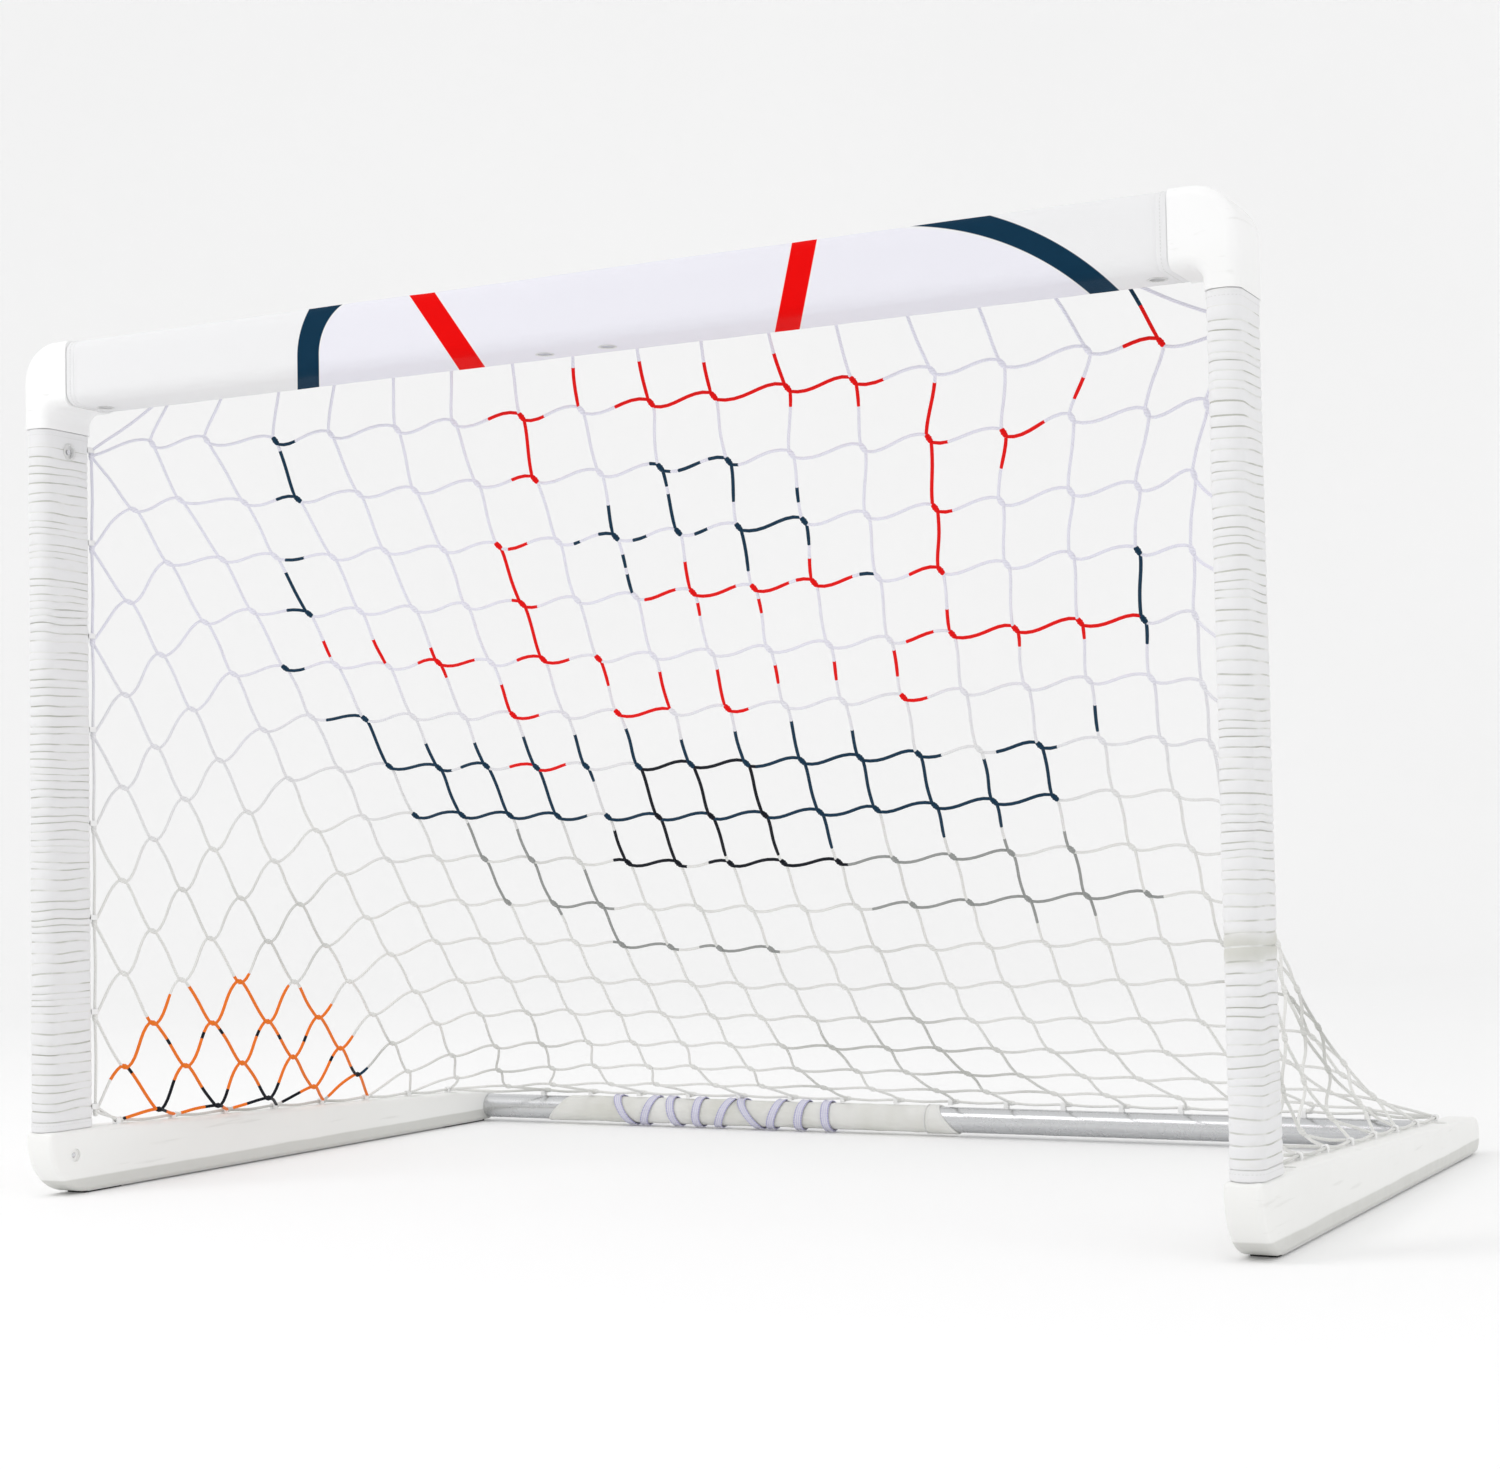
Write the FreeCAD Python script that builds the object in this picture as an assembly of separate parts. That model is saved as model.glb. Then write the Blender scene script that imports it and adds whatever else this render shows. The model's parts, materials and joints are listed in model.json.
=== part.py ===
import FreeCAD, Part
import os
from math import hypot, pi, sin

Vector = FreeCAD.Vector

# A take-apart backyard soccer goal: steel tube frame in bumper sleeves, moulded side rails on the
# ground, a bare aluminium tube along the back, spring snap buttons at every joint and a sagging net.
# Millimetres. X runs along the crossbar, Y from the mouth to the back, Z up from the ground, and the
# origin is on the ground under the middle of the frame.

# Whole frame
FRAME_WIDTH = 1896.0
FRAME_HEIGHT = 1290.0
FRAME_DEPTH = 1230.0
HALF_WIDTH = FRAME_WIDTH / 2
FRONT_Y = -FRAME_DEPTH / 2
REAR_Y = FRAME_DEPTH / 2
LOOSE = 0.3            # gap between a sleeve or panel and what it covers
RUNNING = 0.1          # radial clearance of a sliding button

# Bumper sleeves and the steel tube inside them
POST_WIDTH = 46.0
BAR_DEPTH = 108.0
BAR_HEIGHT = 100.0
SLEEVE_CORNER = 20.0
TUBE_RADIUS = 19.0
TUBE_WALL = 1.5
SPIGOT_RADIUS = 17.3
SPIGOT_WALL = 4.8
SPIGOT_LENGTH = 62.0
FERRULE_HALF = 80.0
POST_X = HALF_WIDTH - POST_WIDTH / 2
BAR_Y = FRONT_Y + BAR_DEPTH / 2
BAR_REAR_Y = FRONT_Y + BAR_DEPTH
BAR_Z = FRAME_HEIGHT - BAR_HEIGHT / 2

# Corner mouldings
CORNER_REACH = 86.0        # from the outer face along the crossbar
CORNER_SKIRT = 30.0        # down the post, below the crossbar's underside
CORNER_OUTER_RADIUS = 60.0
CORNER_INNER_RADIUS = 18.0
CORNER_EDGE = 14.0
CORNER_WALL = 5.0
COVER_DEPTH = 18.0
BOSS_HALF = 21.0           # solid roots of the spigots inside the moulding
BOSS_HALF_ACROSS = 17.0
SPIGOT_ROOT = 1.0          # how far a spigot starts inside its root
CORNER_INNER_X = HALF_WIDTH - CORNER_REACH
CORNER_BOTTOM_Z = FRAME_HEIGHT - BAR_HEIGHT - CORNER_SKIRT

# Side rails
PAD_THICKNESS = 3.0
RAIL_WIDTH = 50.0
RAIL_FRONT_Z = 98.0
RAIL_REAR_Z = 58.0
RAIL_SEAT_END_Y = -500.0
RAIL_FRONT_RADIUS = 82.0
RAIL_REAR_RADIUS = 26.0
RAIL_TOP_RADIUS = 6.0
RAIL_EDGE = 7.0
RAIL_WALL = 3.5
RAIL_INNER_X = HALF_WIDTH - RAIL_WIDTH
RAIL_X = HALF_WIDTH - RAIL_WIDTH / 2
PLATE_THICKNESS = 2.5
PLATE_INSET = 2.5
PLATE_OVERLAP = 20.0       # of the plate over the rail's solid end blocks
PLATE_SCREW_INSET = 10.0
PEG_SCREW_SIDE = 13.0
RAIL_RIBS = 5
FRONT_BLOCK_END_Y = -512.0
REAR_BLOCK_START_Y = 545.0
RIB_HALF = 1.5
PEG_BOSS_HALF = 14.0
PEG_Y = (-430.0, 430.0)
PEG_RADIUS = 6.0
PEG_PLATE_GAP = 1.0        # round a peg, in the bottom plate
PEG_SPOT_RADIUS = 14.0
PEG_SPOT_Z = (86.0, 55.0)
SOCKET_BOTTOM_Z = 18.0
SOCKET_END_X = HALF_WIDTH - 8.0
SOCKET_LEAD = 5.0          # how far a socket's cutter starts outside the rail
PAD_INSET = 8.0
PAD_GAP = 20.0             # between a pad and the peg hole beside it
PAD_REAR_GAP = 35.0
TUBE_END_GAP = 0.5

# Rear tube with the padded wrap on it
REAR_TUBE_RADIUS = 22.0
REAR_TUBE_Z = 29.0
REAR_TUBE_Y = REAR_Y - 28.0
REAR_FERRULE_RADIUS = 20.3
REAR_FERRULE_WALL = 3.8
REAR_FERRULE_HALF = 110.0
WRAP_START_X = -762.0
WRAP_END_X = 68.0
WRAP_RADIUS = 25.5
STRAP_WIDTH = 16.0
STRAP_THICKNESS = 2.0
STRAP_COUNT = 9

# Snap buttons
BUTTON_RADIUS = 4.0
BUTTON_STAND = 4.6         # how far the tip stands above the member that holds it
BUTTON_FLANGE_RADIUS = 5.6
BUTTON_FLANGE = 1.2
BUTTON_TIP_ROUND = 1.4
BUTTON_ROOT = 0.5          # overlap of the stem with its flange
RECESS_RADIUS = 10.0
RECESS_WALL = 3.5
SPRING_HALF_WIDTH = 3.5
SPRING_LEAF = 0.7
SPRING_LENGTH = 30.0
SPRING_HEEL = 6.0
SPRING_LEAD = 1.0          # how far the cutter of a spring's fold starts outside it
WINDOW_RADIUS = 10.0
RAIL_BUTTON_Z = 60.0
POST_BUTTON_Z = CORNER_BOTTOM_Z - SPIGOT_LENGTH / 2
BAR_BUTTON_X = CORNER_INNER_X - SPIGOT_LENGTH / 2
FERRULE_BUTTON_X = 50.0
REAR_BUTTON_X = 921.0
REAR_FERRULE_BUTTON_X = 85.0

# Net: square mesh that hangs in a slack curve from the crossbar back to the rear tube
MESH_COLUMNS = 16
BAR_PITCH = 101.0
REAR_PITCH = 103.5
STRAP_PITCH = REAR_PITCH / 2       # so that straps and rear eyelets alternate
STRAP_FIRST_X = -5.75 * REAR_PITCH
POST_CLIPS = 8
RAIL_CLIPS = 8
RAIL_CLIP_START_Y = -454.0
RAIL_CLIP_END_Y = 464.0
NET_TOP_Z = 1215.0
NET_THICKNESS = 4.0
NET_SAG_Y = 20.0           # control point of the sagging curve
NET_SAG_Z = 130.0
NET_STRIPS = 12
NET_WAIST = 680.0          # half width half way down, where the back panel is drawn in
NET_FLARE = 95.0           # how much wider it is at the crossbar and at the rear tube
NET_SIDE_X = 908.0
NET_CLEARANCE = 9.0        # between the net's solid and the eyelets
NET_TURN = 0.5             # share of the side panel's outer edge that lies along the post
CLIP_LENGTH = 8.0
CLIP_RADIUS = 5.0
CLIP_EYE_RADIUS = 2.8
CLIP_REACH = 6.0
POST_CLIP_LOW = 30.0       # lowest post eyelet above the rail
POST_CLIP_HIGH = 20.0      # highest post eyelet below the corner moulding
POST_CLIP_INSET = 14.0     # both from the rail's inner face
RAIL_CLIP_INSET = 13.0

# Screws
SCREW_RADIUS = 1.8
SCREW_LENGTH = 13.0
SCREW_HEAD_RADIUS = 3.6
SCREW_HEAD = 1.6
COVER_SCREW_LENGTH = 26.0
COVER_SCREWS = ((CORNER_INNER_X + 24.0, BAR_Z), (POST_X, BAR_Z), (POST_X, CORNER_BOTTOM_Z + 18.0))


def save(shape, name):
    """Write one node, and stop if any of its solids is broken."""
    if not shape.isValid() or not shape.Solids:
        raise ValueError(name + " is not a valid solid")
    shape.exportStep(os.path.join("parts", name + ".step"))


def mirrored(shape):
    """The same piece on the other side of the goal."""
    return shape.mirror(Vector(0, 0, 0), Vector(1, 0, 0))


def both_sides(name, shape):
    """Save a right-hand piece and its left-hand mirror image."""
    save(shape, "right_" + name)
    save(mirrored(shape), "left_" + name)


def box(low, high):
    """A box between two corners."""
    size = [high[i] - low[i] for i in range(3)]
    return Part.makeBox(size[0], size[1], size[2], Vector(*low))


def cylinder(radius, start, direction, length):
    """A cylinder from a start point along a unit direction."""
    return Part.makeCylinder(radius, length, Vector(*start), Vector(*direction))


def tube(outer, wall, start, direction, length):
    """A round tube."""
    return cylinder(outer, start, direction, length).cut(cylinder(outer - wall, start, direction, length))


def arc(start, middle, end):
    """An arc edge through three points."""
    return Part.Arc(Vector(*start), Vector(*middle), Vector(*end)).toShape()


def line(start, end):
    """A straight edge."""
    return Part.makeLine(Vector(*start), Vector(*end))


def round_box(low, high, radius, axis):
    """A box whose four edges along one axis (0 for X, 2 for Z) are rounded."""
    block = box(low, high)
    along = Vector(*[1.0 if i == axis else 0.0 for i in range(3)])
    edges = [e for e in block.Edges if abs(e.tangentAt(e.FirstParameter).dot(along)) > 0.99]
    return block.makeFillet(radius, edges)


# ---------------------------------------------------------------- side rails

def rail_top(y):
    """Height of the rail's top face, flat under the post and then falling to the back."""
    if y < RAIL_SEAT_END_Y:
        return RAIL_FRONT_Z
    share = (y - RAIL_SEAT_END_Y) / (REAR_Y - RAIL_SEAT_END_Y)
    return RAIL_FRONT_Z + (RAIL_REAR_Z - RAIL_FRONT_Z) * share


def rail_outline():
    """Side outline of the rail: a big round front foot and a small round back end."""
    x, low, half = RAIL_INNER_X, PAD_THICKNESS, sin(pi / 4)
    front_r, rear_r, top_r = RAIL_FRONT_RADIUS, RAIL_REAR_RADIUS, RAIL_TOP_RADIUS
    front_arc = ((x, FRONT_Y + front_r, low),
                 (x, FRONT_Y + front_r * (1 - half), low + front_r * (1 - half)),
                 (x, FRONT_Y, low + front_r))
    seat = RAIL_FRONT_Z
    top_arc = ((x, FRONT_Y, seat - top_r),
               (x, FRONT_Y + top_r * (1 - half), seat - top_r * (1 - half)),
               (x, FRONT_Y + top_r, seat))
    bend = (x, RAIL_SEAT_END_Y, seat)
    slope_end = (x, REAR_Y - rear_r, rail_top(REAR_Y - rear_r))
    shoulder = slope_end[2] - rear_r
    rear_top = (slope_end,
                (x, REAR_Y - rear_r * (1 - half), shoulder + rear_r * half),
                (x, REAR_Y, shoulder))
    rear_low = ((x, REAR_Y, low + rear_r),
                (x, REAR_Y - rear_r * (1 - half), low + rear_r * (1 - half)),
                (x, REAR_Y - rear_r, low))
    edges = [arc(*front_arc), line(front_arc[2], top_arc[0]), arc(*top_arc), line(top_arc[2], bend),
             line(bend, slope_end), arc(*rear_top), line(rear_top[2], rear_low[0]), arc(*rear_low),
             line(rear_low[2], front_arc[0])]
    return Part.Face(Part.Wire(edges))


def rail_pockets():
    """Open pockets moulded up into the rail from below, with cross ribs left between them."""
    stations = [(FRONT_BLOCK_END_Y, FRONT_BLOCK_END_Y)]
    stations += [(y - PEG_BOSS_HALF, y + PEG_BOSS_HALF) for y in PEG_Y]
    rib_pitch = (PEG_Y[1] - PEG_Y[0]) / (RAIL_RIBS + 1)
    for i in range(RAIL_RIBS):
        y = PEG_Y[0] + (i + 1) * rib_pitch
        stations.append((y - RIB_HALF, y + RIB_HALF))
    stations.append((REAR_BLOCK_START_Y, REAR_BLOCK_START_Y))
    stations.sort()
    pockets = []
    for before, after in zip(stations, stations[1:]):
        y0, y1 = before[1], after[0]
        x = RAIL_INNER_X + RAIL_WALL
        outline = [Vector(x, y0, 0), Vector(x, y1, 0), Vector(x, y1, rail_top(y1) - RAIL_WALL),
                   Vector(x, y0, rail_top(y0) - RAIL_WALL), Vector(x, y0, 0)]
        face = Part.Face(Part.makePolygon(outline))
        pockets.append(face.extrude(Vector(RAIL_WIDTH - 2 * RAIL_WALL, 0, 0)))
    return pockets


def plate_box(grow):
    """The bottom plate's space in the rail, grown all round for its recess."""
    side = PLATE_INSET - grow
    over = PLATE_OVERLAP + grow
    return box((RAIL_INNER_X + side, FRONT_BLOCK_END_Y - over, PAD_THICKNESS),
               (HALF_WIDTH - side, REAR_BLOCK_START_Y + over, PAD_THICKNESS + PLATE_THICKNESS + grow))


def plate_screw_places():
    """Screws into the end blocks and beside each peg boss."""
    places = [(RAIL_X, FRONT_BLOCK_END_Y - PLATE_SCREW_INSET),
              (RAIL_X, REAR_BLOCK_START_Y + PLATE_SCREW_INSET)]
    for y in PEG_Y:
        places += [(RAIL_X - PEG_SCREW_SIDE, y), (RAIL_X + PEG_SCREW_SIDE, y)]
    return places


def plate_screw(x, y, grow):
    """One screw driven up through the plate, or its hole when grown."""
    head = cylinder(SCREW_HEAD_RADIUS + grow, (x, y, PAD_THICKNESS), (0, 0, 1), SCREW_HEAD + grow)
    shank = cylinder(SCREW_RADIUS + grow, (x, y, PAD_THICKNESS), (0, 0, 1), SCREW_LENGTH + grow)
    return head.fuse(shank)


def make_rail():
    """Right side rail: moulded shell with sockets for the upright and the rear tube."""
    solid = rail_outline().extrude(Vector(RAIL_WIDTH, 0, 0))
    long_edges = [e for e in solid.Edges if abs(e.BoundBox.XMax - e.BoundBox.XMin) < 0.01]
    rail = solid.makeFillet(RAIL_EDGE, long_edges)
    for pocket in rail_pockets():
        rail = rail.cut(pocket)
    rail = rail.cut(plate_box(LOOSE))
    for y, spot_z in zip(PEG_Y, PEG_SPOT_Z):
        rail = rail.cut(cylinder(PEG_SPOT_RADIUS, (RAIL_X, y, spot_z), (0, 0, 1), RAIL_FRONT_Z))
        rail = rail.cut(cylinder(PEG_RADIUS, (RAIL_X, y, 0), (0, 0, 1), RAIL_FRONT_Z))
    socket = cylinder(TUBE_RADIUS + RUNNING, (POST_X, BAR_Y, SOCKET_BOTTOM_Z), (0, 0, 1), RAIL_FRONT_Z)
    rear_socket = cylinder(REAR_TUBE_RADIUS + RUNNING,
                           (RAIL_INNER_X - SOCKET_LEAD, REAR_TUBE_Y, REAR_TUBE_Z), (1, 0, 0),
                           SOCKET_END_X - RAIL_INNER_X + SOCKET_LEAD)
    rail = rail.cut(socket).cut(rear_socket)
    # Button hole and thumb recess for the upright, on the inner face
    wall_x = POST_X - TUBE_RADIUS - RECESS_WALL
    rail = rail.cut(cylinder(RECESS_RADIUS, (wall_x, BAR_Y, RAIL_BUTTON_Z), (-1, 0, 0), RAIL_WIDTH))
    rail = rail.cut(cylinder(BUTTON_RADIUS + RUNNING, (POST_X, BAR_Y, RAIL_BUTTON_Z), (-1, 0, 0),
                             RAIL_WIDTH))
    # The same for the rear tube, on the back face
    wall_y = REAR_TUBE_Y + REAR_TUBE_RADIUS + RECESS_WALL
    rail = rail.cut(cylinder(RECESS_RADIUS, (REAR_BUTTON_X, wall_y, REAR_TUBE_Z), (0, 1, 0), RAIL_WIDTH))
    rail = rail.cut(cylinder(BUTTON_RADIUS + RUNNING, (REAR_BUTTON_X, REAR_TUBE_Y, REAR_TUBE_Z),
                             (0, 1, 0), RAIL_WIDTH))
    for x, y in plate_screw_places():
        rail = rail.cut(plate_screw(x, y, RUNNING))
    return rail


def make_plate():
    """Bottom plate that closes the rail's pockets."""
    plate = plate_box(0.0)
    for y in PEG_Y:
        plate = plate.cut(cylinder(PEG_RADIUS + PEG_PLATE_GAP, (RAIL_X, y, 0), (0, 0, 1), RAIL_FRONT_Z))
    for x, y in plate_screw_places():
        plate = plate.cut(plate_screw(x, y, RUNNING))
    return plate


def make_grip_pads():
    """Rubber pads under the front and back of each rail."""
    spans = ((FRONT_Y + RAIL_FRONT_RADIUS + LOOSE, PEG_Y[0] - PAD_GAP),
             (PEG_Y[1] + PAD_GAP, REAR_Y - PAD_REAR_GAP))
    pads = []
    for y0, y1 in spans:
        pad = box((RAIL_INNER_X + PAD_INSET, y0, 0), (HALF_WIDTH - PAD_INSET, y1, PAD_THICKNESS))
        pads += [pad, mirrored(pad)]
    return Part.makeCompound(pads)


# ---------------------------------------------------------------- corners and tubes

def corner_face(inset):
    """Front outline of a corner moulding: an elbow from the post into the crossbar."""
    y, half = FRONT_Y, sin(pi / 4)
    x0, x1 = CORNER_INNER_X + inset, HALF_WIDTH - inset
    post_x = HALF_WIDTH - POST_WIDTH + inset
    low, under, top = CORNER_BOTTOM_Z + inset, FRAME_HEIGHT - BAR_HEIGHT + inset, FRAME_HEIGHT - inset
    big, small = CORNER_OUTER_RADIUS - inset, CORNER_INNER_RADIUS
    big_arc = ((x1, y, top - big), (x1 - big * (1 - half), y, top - big * (1 - half)), (x1 - big, y, top))
    small_arc = ((post_x - small, y, under),
                 (post_x - small * (1 - half), y, under - small * (1 - half)),
                 (post_x, y, under - small))
    edges = [line((x0, y, under), small_arc[0]), arc(*small_arc), line(small_arc[2], (post_x, y, low)),
             line((post_x, y, low), (x1, y, low)), line((x1, y, low), big_arc[0]), arc(*big_arc),
             line(big_arc[2], (x0, y, top)), line((x0, y, top), (x0, y, under))]
    return Part.Face(Part.Wire(edges))


def corner_block(inset, start, end):
    """The corner outline extruded between two depths behind the front face."""
    face = corner_face(inset)
    face.translate(Vector(0, start, 0))
    return face.extrude(Vector(0, end - start, 0))


def soften_corner(block, y):
    """Round the outline's edges at depth y, leaving the two ends that meet the sleeves square."""
    edges = []
    for edge in block.Edges:
        bounds = edge.BoundBox
        flat = abs(bounds.YMin - y) < 0.01 and abs(bounds.YMax - y) < 0.01
        at_bar = bounds.XMax < CORNER_INNER_X + 0.01
        at_post = bounds.ZMax < CORNER_BOTTOM_Z + 0.01
        if flat and not at_bar and not at_post:
            edges.append(edge)
    return block.makeFillet(CORNER_EDGE, edges)


def cover_screw(x, z, grow):
    """One screw through the corner's back cover, or its hole when grown."""
    y = BAR_REAR_Y
    head = cylinder(SCREW_HEAD_RADIUS + grow, (x, y, z), (0, -1, 0), SCREW_HEAD + grow)
    shank = cylinder(SCREW_RADIUS + grow, (x, y, z), (0, -1, 0), COVER_SCREW_LENGTH + grow)
    return head.fuse(shank)


def corner_bosses():
    """Solid roots inside the corner that the two spigots grow from."""
    along = box((CORNER_INNER_X + SPIGOT_ROOT, BAR_Y - BOSS_HALF, BAR_Z - BOSS_HALF),
                (POST_X, BAR_REAR_Y - COVER_DEPTH, BAR_Z + BOSS_HALF))
    down = box((POST_X - BOSS_HALF_ACROSS, BAR_Y - BOSS_HALF, CORNER_BOTTOM_Z + SPIGOT_ROOT),
               (POST_X + BOSS_HALF_ACROSS, BAR_REAR_Y - COVER_DEPTH, BAR_Z + BOSS_HALF_ACROSS))
    return along.fuse(down)


def make_corner():
    """Right corner moulding with its two hollow spigots."""
    depth = BAR_DEPTH - COVER_DEPTH
    body = soften_corner(corner_block(0.0, 0.0, depth), FRONT_Y)
    hollow = corner_block(CORNER_WALL, CORNER_WALL, depth).cut(corner_bosses())
    body = body.cut(hollow)
    length = SPIGOT_LENGTH + SPIGOT_ROOT
    bar_spigot = tube(SPIGOT_RADIUS, SPIGOT_WALL, (CORNER_INNER_X + SPIGOT_ROOT, BAR_Y, BAR_Z),
                      (-1, 0, 0), length)
    post_spigot = tube(SPIGOT_RADIUS, SPIGOT_WALL, (POST_X, BAR_Y, CORNER_BOTTOM_Z + SPIGOT_ROOT),
                       (0, 0, -1), length)
    body = body.fuse(bar_spigot).fuse(post_spigot)
    hole = BUTTON_RADIUS + RUNNING
    body = body.cut(cylinder(hole, (BAR_BUTTON_X, BAR_Y, BAR_Z), (0, 0, -1), BAR_HEIGHT))
    body = body.cut(cylinder(hole, (POST_X, BAR_Y, POST_BUTTON_Z), (-1, 0, 0), BAR_HEIGHT))
    for x, z in COVER_SCREWS:
        body = body.cut(cover_screw(x, z, RUNNING))
    return body


def make_corner_cover():
    """Rounded back cover of the right corner moulding."""
    cover = corner_block(0.0, BAR_DEPTH - COVER_DEPTH, BAR_DEPTH)
    cover = soften_corner(cover, BAR_REAR_Y)
    for x, z in COVER_SCREWS:
        cover = cover.cut(cover_screw(x, z, RUNNING))
    return cover


def make_upright():
    """Right upright tube, with a hole for its own button and one for the corner's."""
    foot = SOCKET_BOTTOM_Z + TUBE_END_GAP
    upright = tube(TUBE_RADIUS, TUBE_WALL, (POST_X, BAR_Y, foot), (0, 0, 1),
                   CORNER_BOTTOM_Z - TUBE_END_GAP - foot)
    for z in (RAIL_BUTTON_Z, POST_BUTTON_Z):
        upright = upright.cut(cylinder(BUTTON_RADIUS + RUNNING, (POST_X, BAR_Y, z), (-1, 0, 0),
                                       POST_WIDTH))
    return upright


def make_bar_tube():
    """Right half of the crossbar tube."""
    half = tube(TUBE_RADIUS, TUBE_WALL, (TUBE_END_GAP, BAR_Y, BAR_Z), (1, 0, 0),
                CORNER_INNER_X - 2 * TUBE_END_GAP)
    for x in (FERRULE_BUTTON_X, BAR_BUTTON_X):
        half = half.cut(cylinder(BUTTON_RADIUS + RUNNING, (x, BAR_Y, BAR_Z), (0, 0, -1), BAR_HEIGHT))
    return half


def make_ferrule():
    """Inner ferrule that joins the two halves of the crossbar tube."""
    ferrule = tube(SPIGOT_RADIUS, SPIGOT_WALL, (-FERRULE_HALF, BAR_Y, BAR_Z), (1, 0, 0),
                   2 * FERRULE_HALF)
    for x in (-FERRULE_BUTTON_X, FERRULE_BUTTON_X):
        ferrule = ferrule.cut(cylinder(BUTTON_RADIUS + RUNNING, (x, BAR_Y, BAR_Z), (0, 0, -1),
                                       TUBE_RADIUS))
    return ferrule


def make_rear_tube():
    """Right half of the bare tube along the ground at the back."""
    start = (TUBE_END_GAP, REAR_TUBE_Y, REAR_TUBE_Z)
    half = tube(REAR_TUBE_RADIUS, TUBE_WALL, start, (1, 0, 0), SOCKET_END_X - 2 * TUBE_END_GAP)
    for x in (REAR_FERRULE_BUTTON_X, REAR_BUTTON_X):
        half = half.cut(cylinder(BUTTON_RADIUS + RUNNING, (x, REAR_TUBE_Y, REAR_TUBE_Z), (0, 1, 0),
                                 RAIL_WIDTH))
    return half


def make_rear_ferrule():
    """Inner ferrule of the rear tube."""
    ferrule = tube(REAR_FERRULE_RADIUS, REAR_FERRULE_WALL,
                   (-REAR_FERRULE_HALF, REAR_TUBE_Y, REAR_TUBE_Z), (1, 0, 0), 2 * REAR_FERRULE_HALF)
    for x in (-REAR_FERRULE_BUTTON_X, REAR_FERRULE_BUTTON_X):
        ferrule = ferrule.cut(cylinder(BUTTON_RADIUS + RUNNING, (x, REAR_TUBE_Y, REAR_TUBE_Z),
                                       (0, 1, 0), REAR_TUBE_RADIUS))
    return ferrule


# ---------------------------------------------------------------- soft sleeves

def make_post_sleeve():
    """Right bumper sleeve, with a window over the corner's button."""
    sleeve = round_box((HALF_WIDTH - POST_WIDTH, FRONT_Y, RAIL_FRONT_Z + LOOSE),
                       (HALF_WIDTH, BAR_REAR_Y, CORNER_BOTTOM_Z - LOOSE), SLEEVE_CORNER, 2)
    sleeve = sleeve.cut(cylinder(TUBE_RADIUS + LOOSE, (POST_X, BAR_Y, 0), (0, 0, 1), FRAME_HEIGHT))
    return sleeve.cut(cylinder(WINDOW_RADIUS, (POST_X, BAR_Y, POST_BUTTON_Z), (-1, 0, 0), POST_WIDTH))


def make_bar_sleeve():
    """Crossbar bumper sleeve, with windows under each button."""
    end = CORNER_INNER_X - LOOSE
    sleeve = round_box((-end, FRONT_Y, FRAME_HEIGHT - BAR_HEIGHT), (end, BAR_REAR_Y, FRAME_HEIGHT),
                       SLEEVE_CORNER, 0)
    sleeve = sleeve.cut(cylinder(TUBE_RADIUS + LOOSE, (-HALF_WIDTH, BAR_Y, BAR_Z), (1, 0, 0),
                                 FRAME_WIDTH))
    for x in (-BAR_BUTTON_X, -FERRULE_BUTTON_X, FERRULE_BUTTON_X, BAR_BUTTON_X):
        sleeve = sleeve.cut(cylinder(WINDOW_RADIUS, (x, BAR_Y, BAR_Z), (0, 0, -1), BAR_HEIGHT))
    return sleeve


def make_rear_wrap():
    """Padded wrap on the rear tube, with a window over the ferrule's left button."""
    wrap = tube(WRAP_RADIUS, WRAP_RADIUS - REAR_TUBE_RADIUS - LOOSE,
                (WRAP_START_X, REAR_TUBE_Y, REAR_TUBE_Z), (1, 0, 0), WRAP_END_X - WRAP_START_X)
    return wrap.cut(cylinder(WINDOW_RADIUS, (-REAR_FERRULE_BUTTON_X, REAR_TUBE_Y, REAR_TUBE_Z),
                             (0, 1, 0), RAIL_WIDTH))


def make_straps():
    """Flat braided straps round the wrap."""
    radius = WRAP_RADIUS + LOOSE + STRAP_THICKNESS
    straps = []
    for i in range(STRAP_COUNT):
        x = STRAP_FIRST_X + i * STRAP_PITCH - STRAP_WIDTH / 2
        straps.append(tube(radius, STRAP_THICKNESS, (x, REAR_TUBE_Y, REAR_TUBE_Z), (1, 0, 0),
                           STRAP_WIDTH))
    return Part.makeCompound(straps)


# ---------------------------------------------------------------- snap buttons and springs

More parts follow.
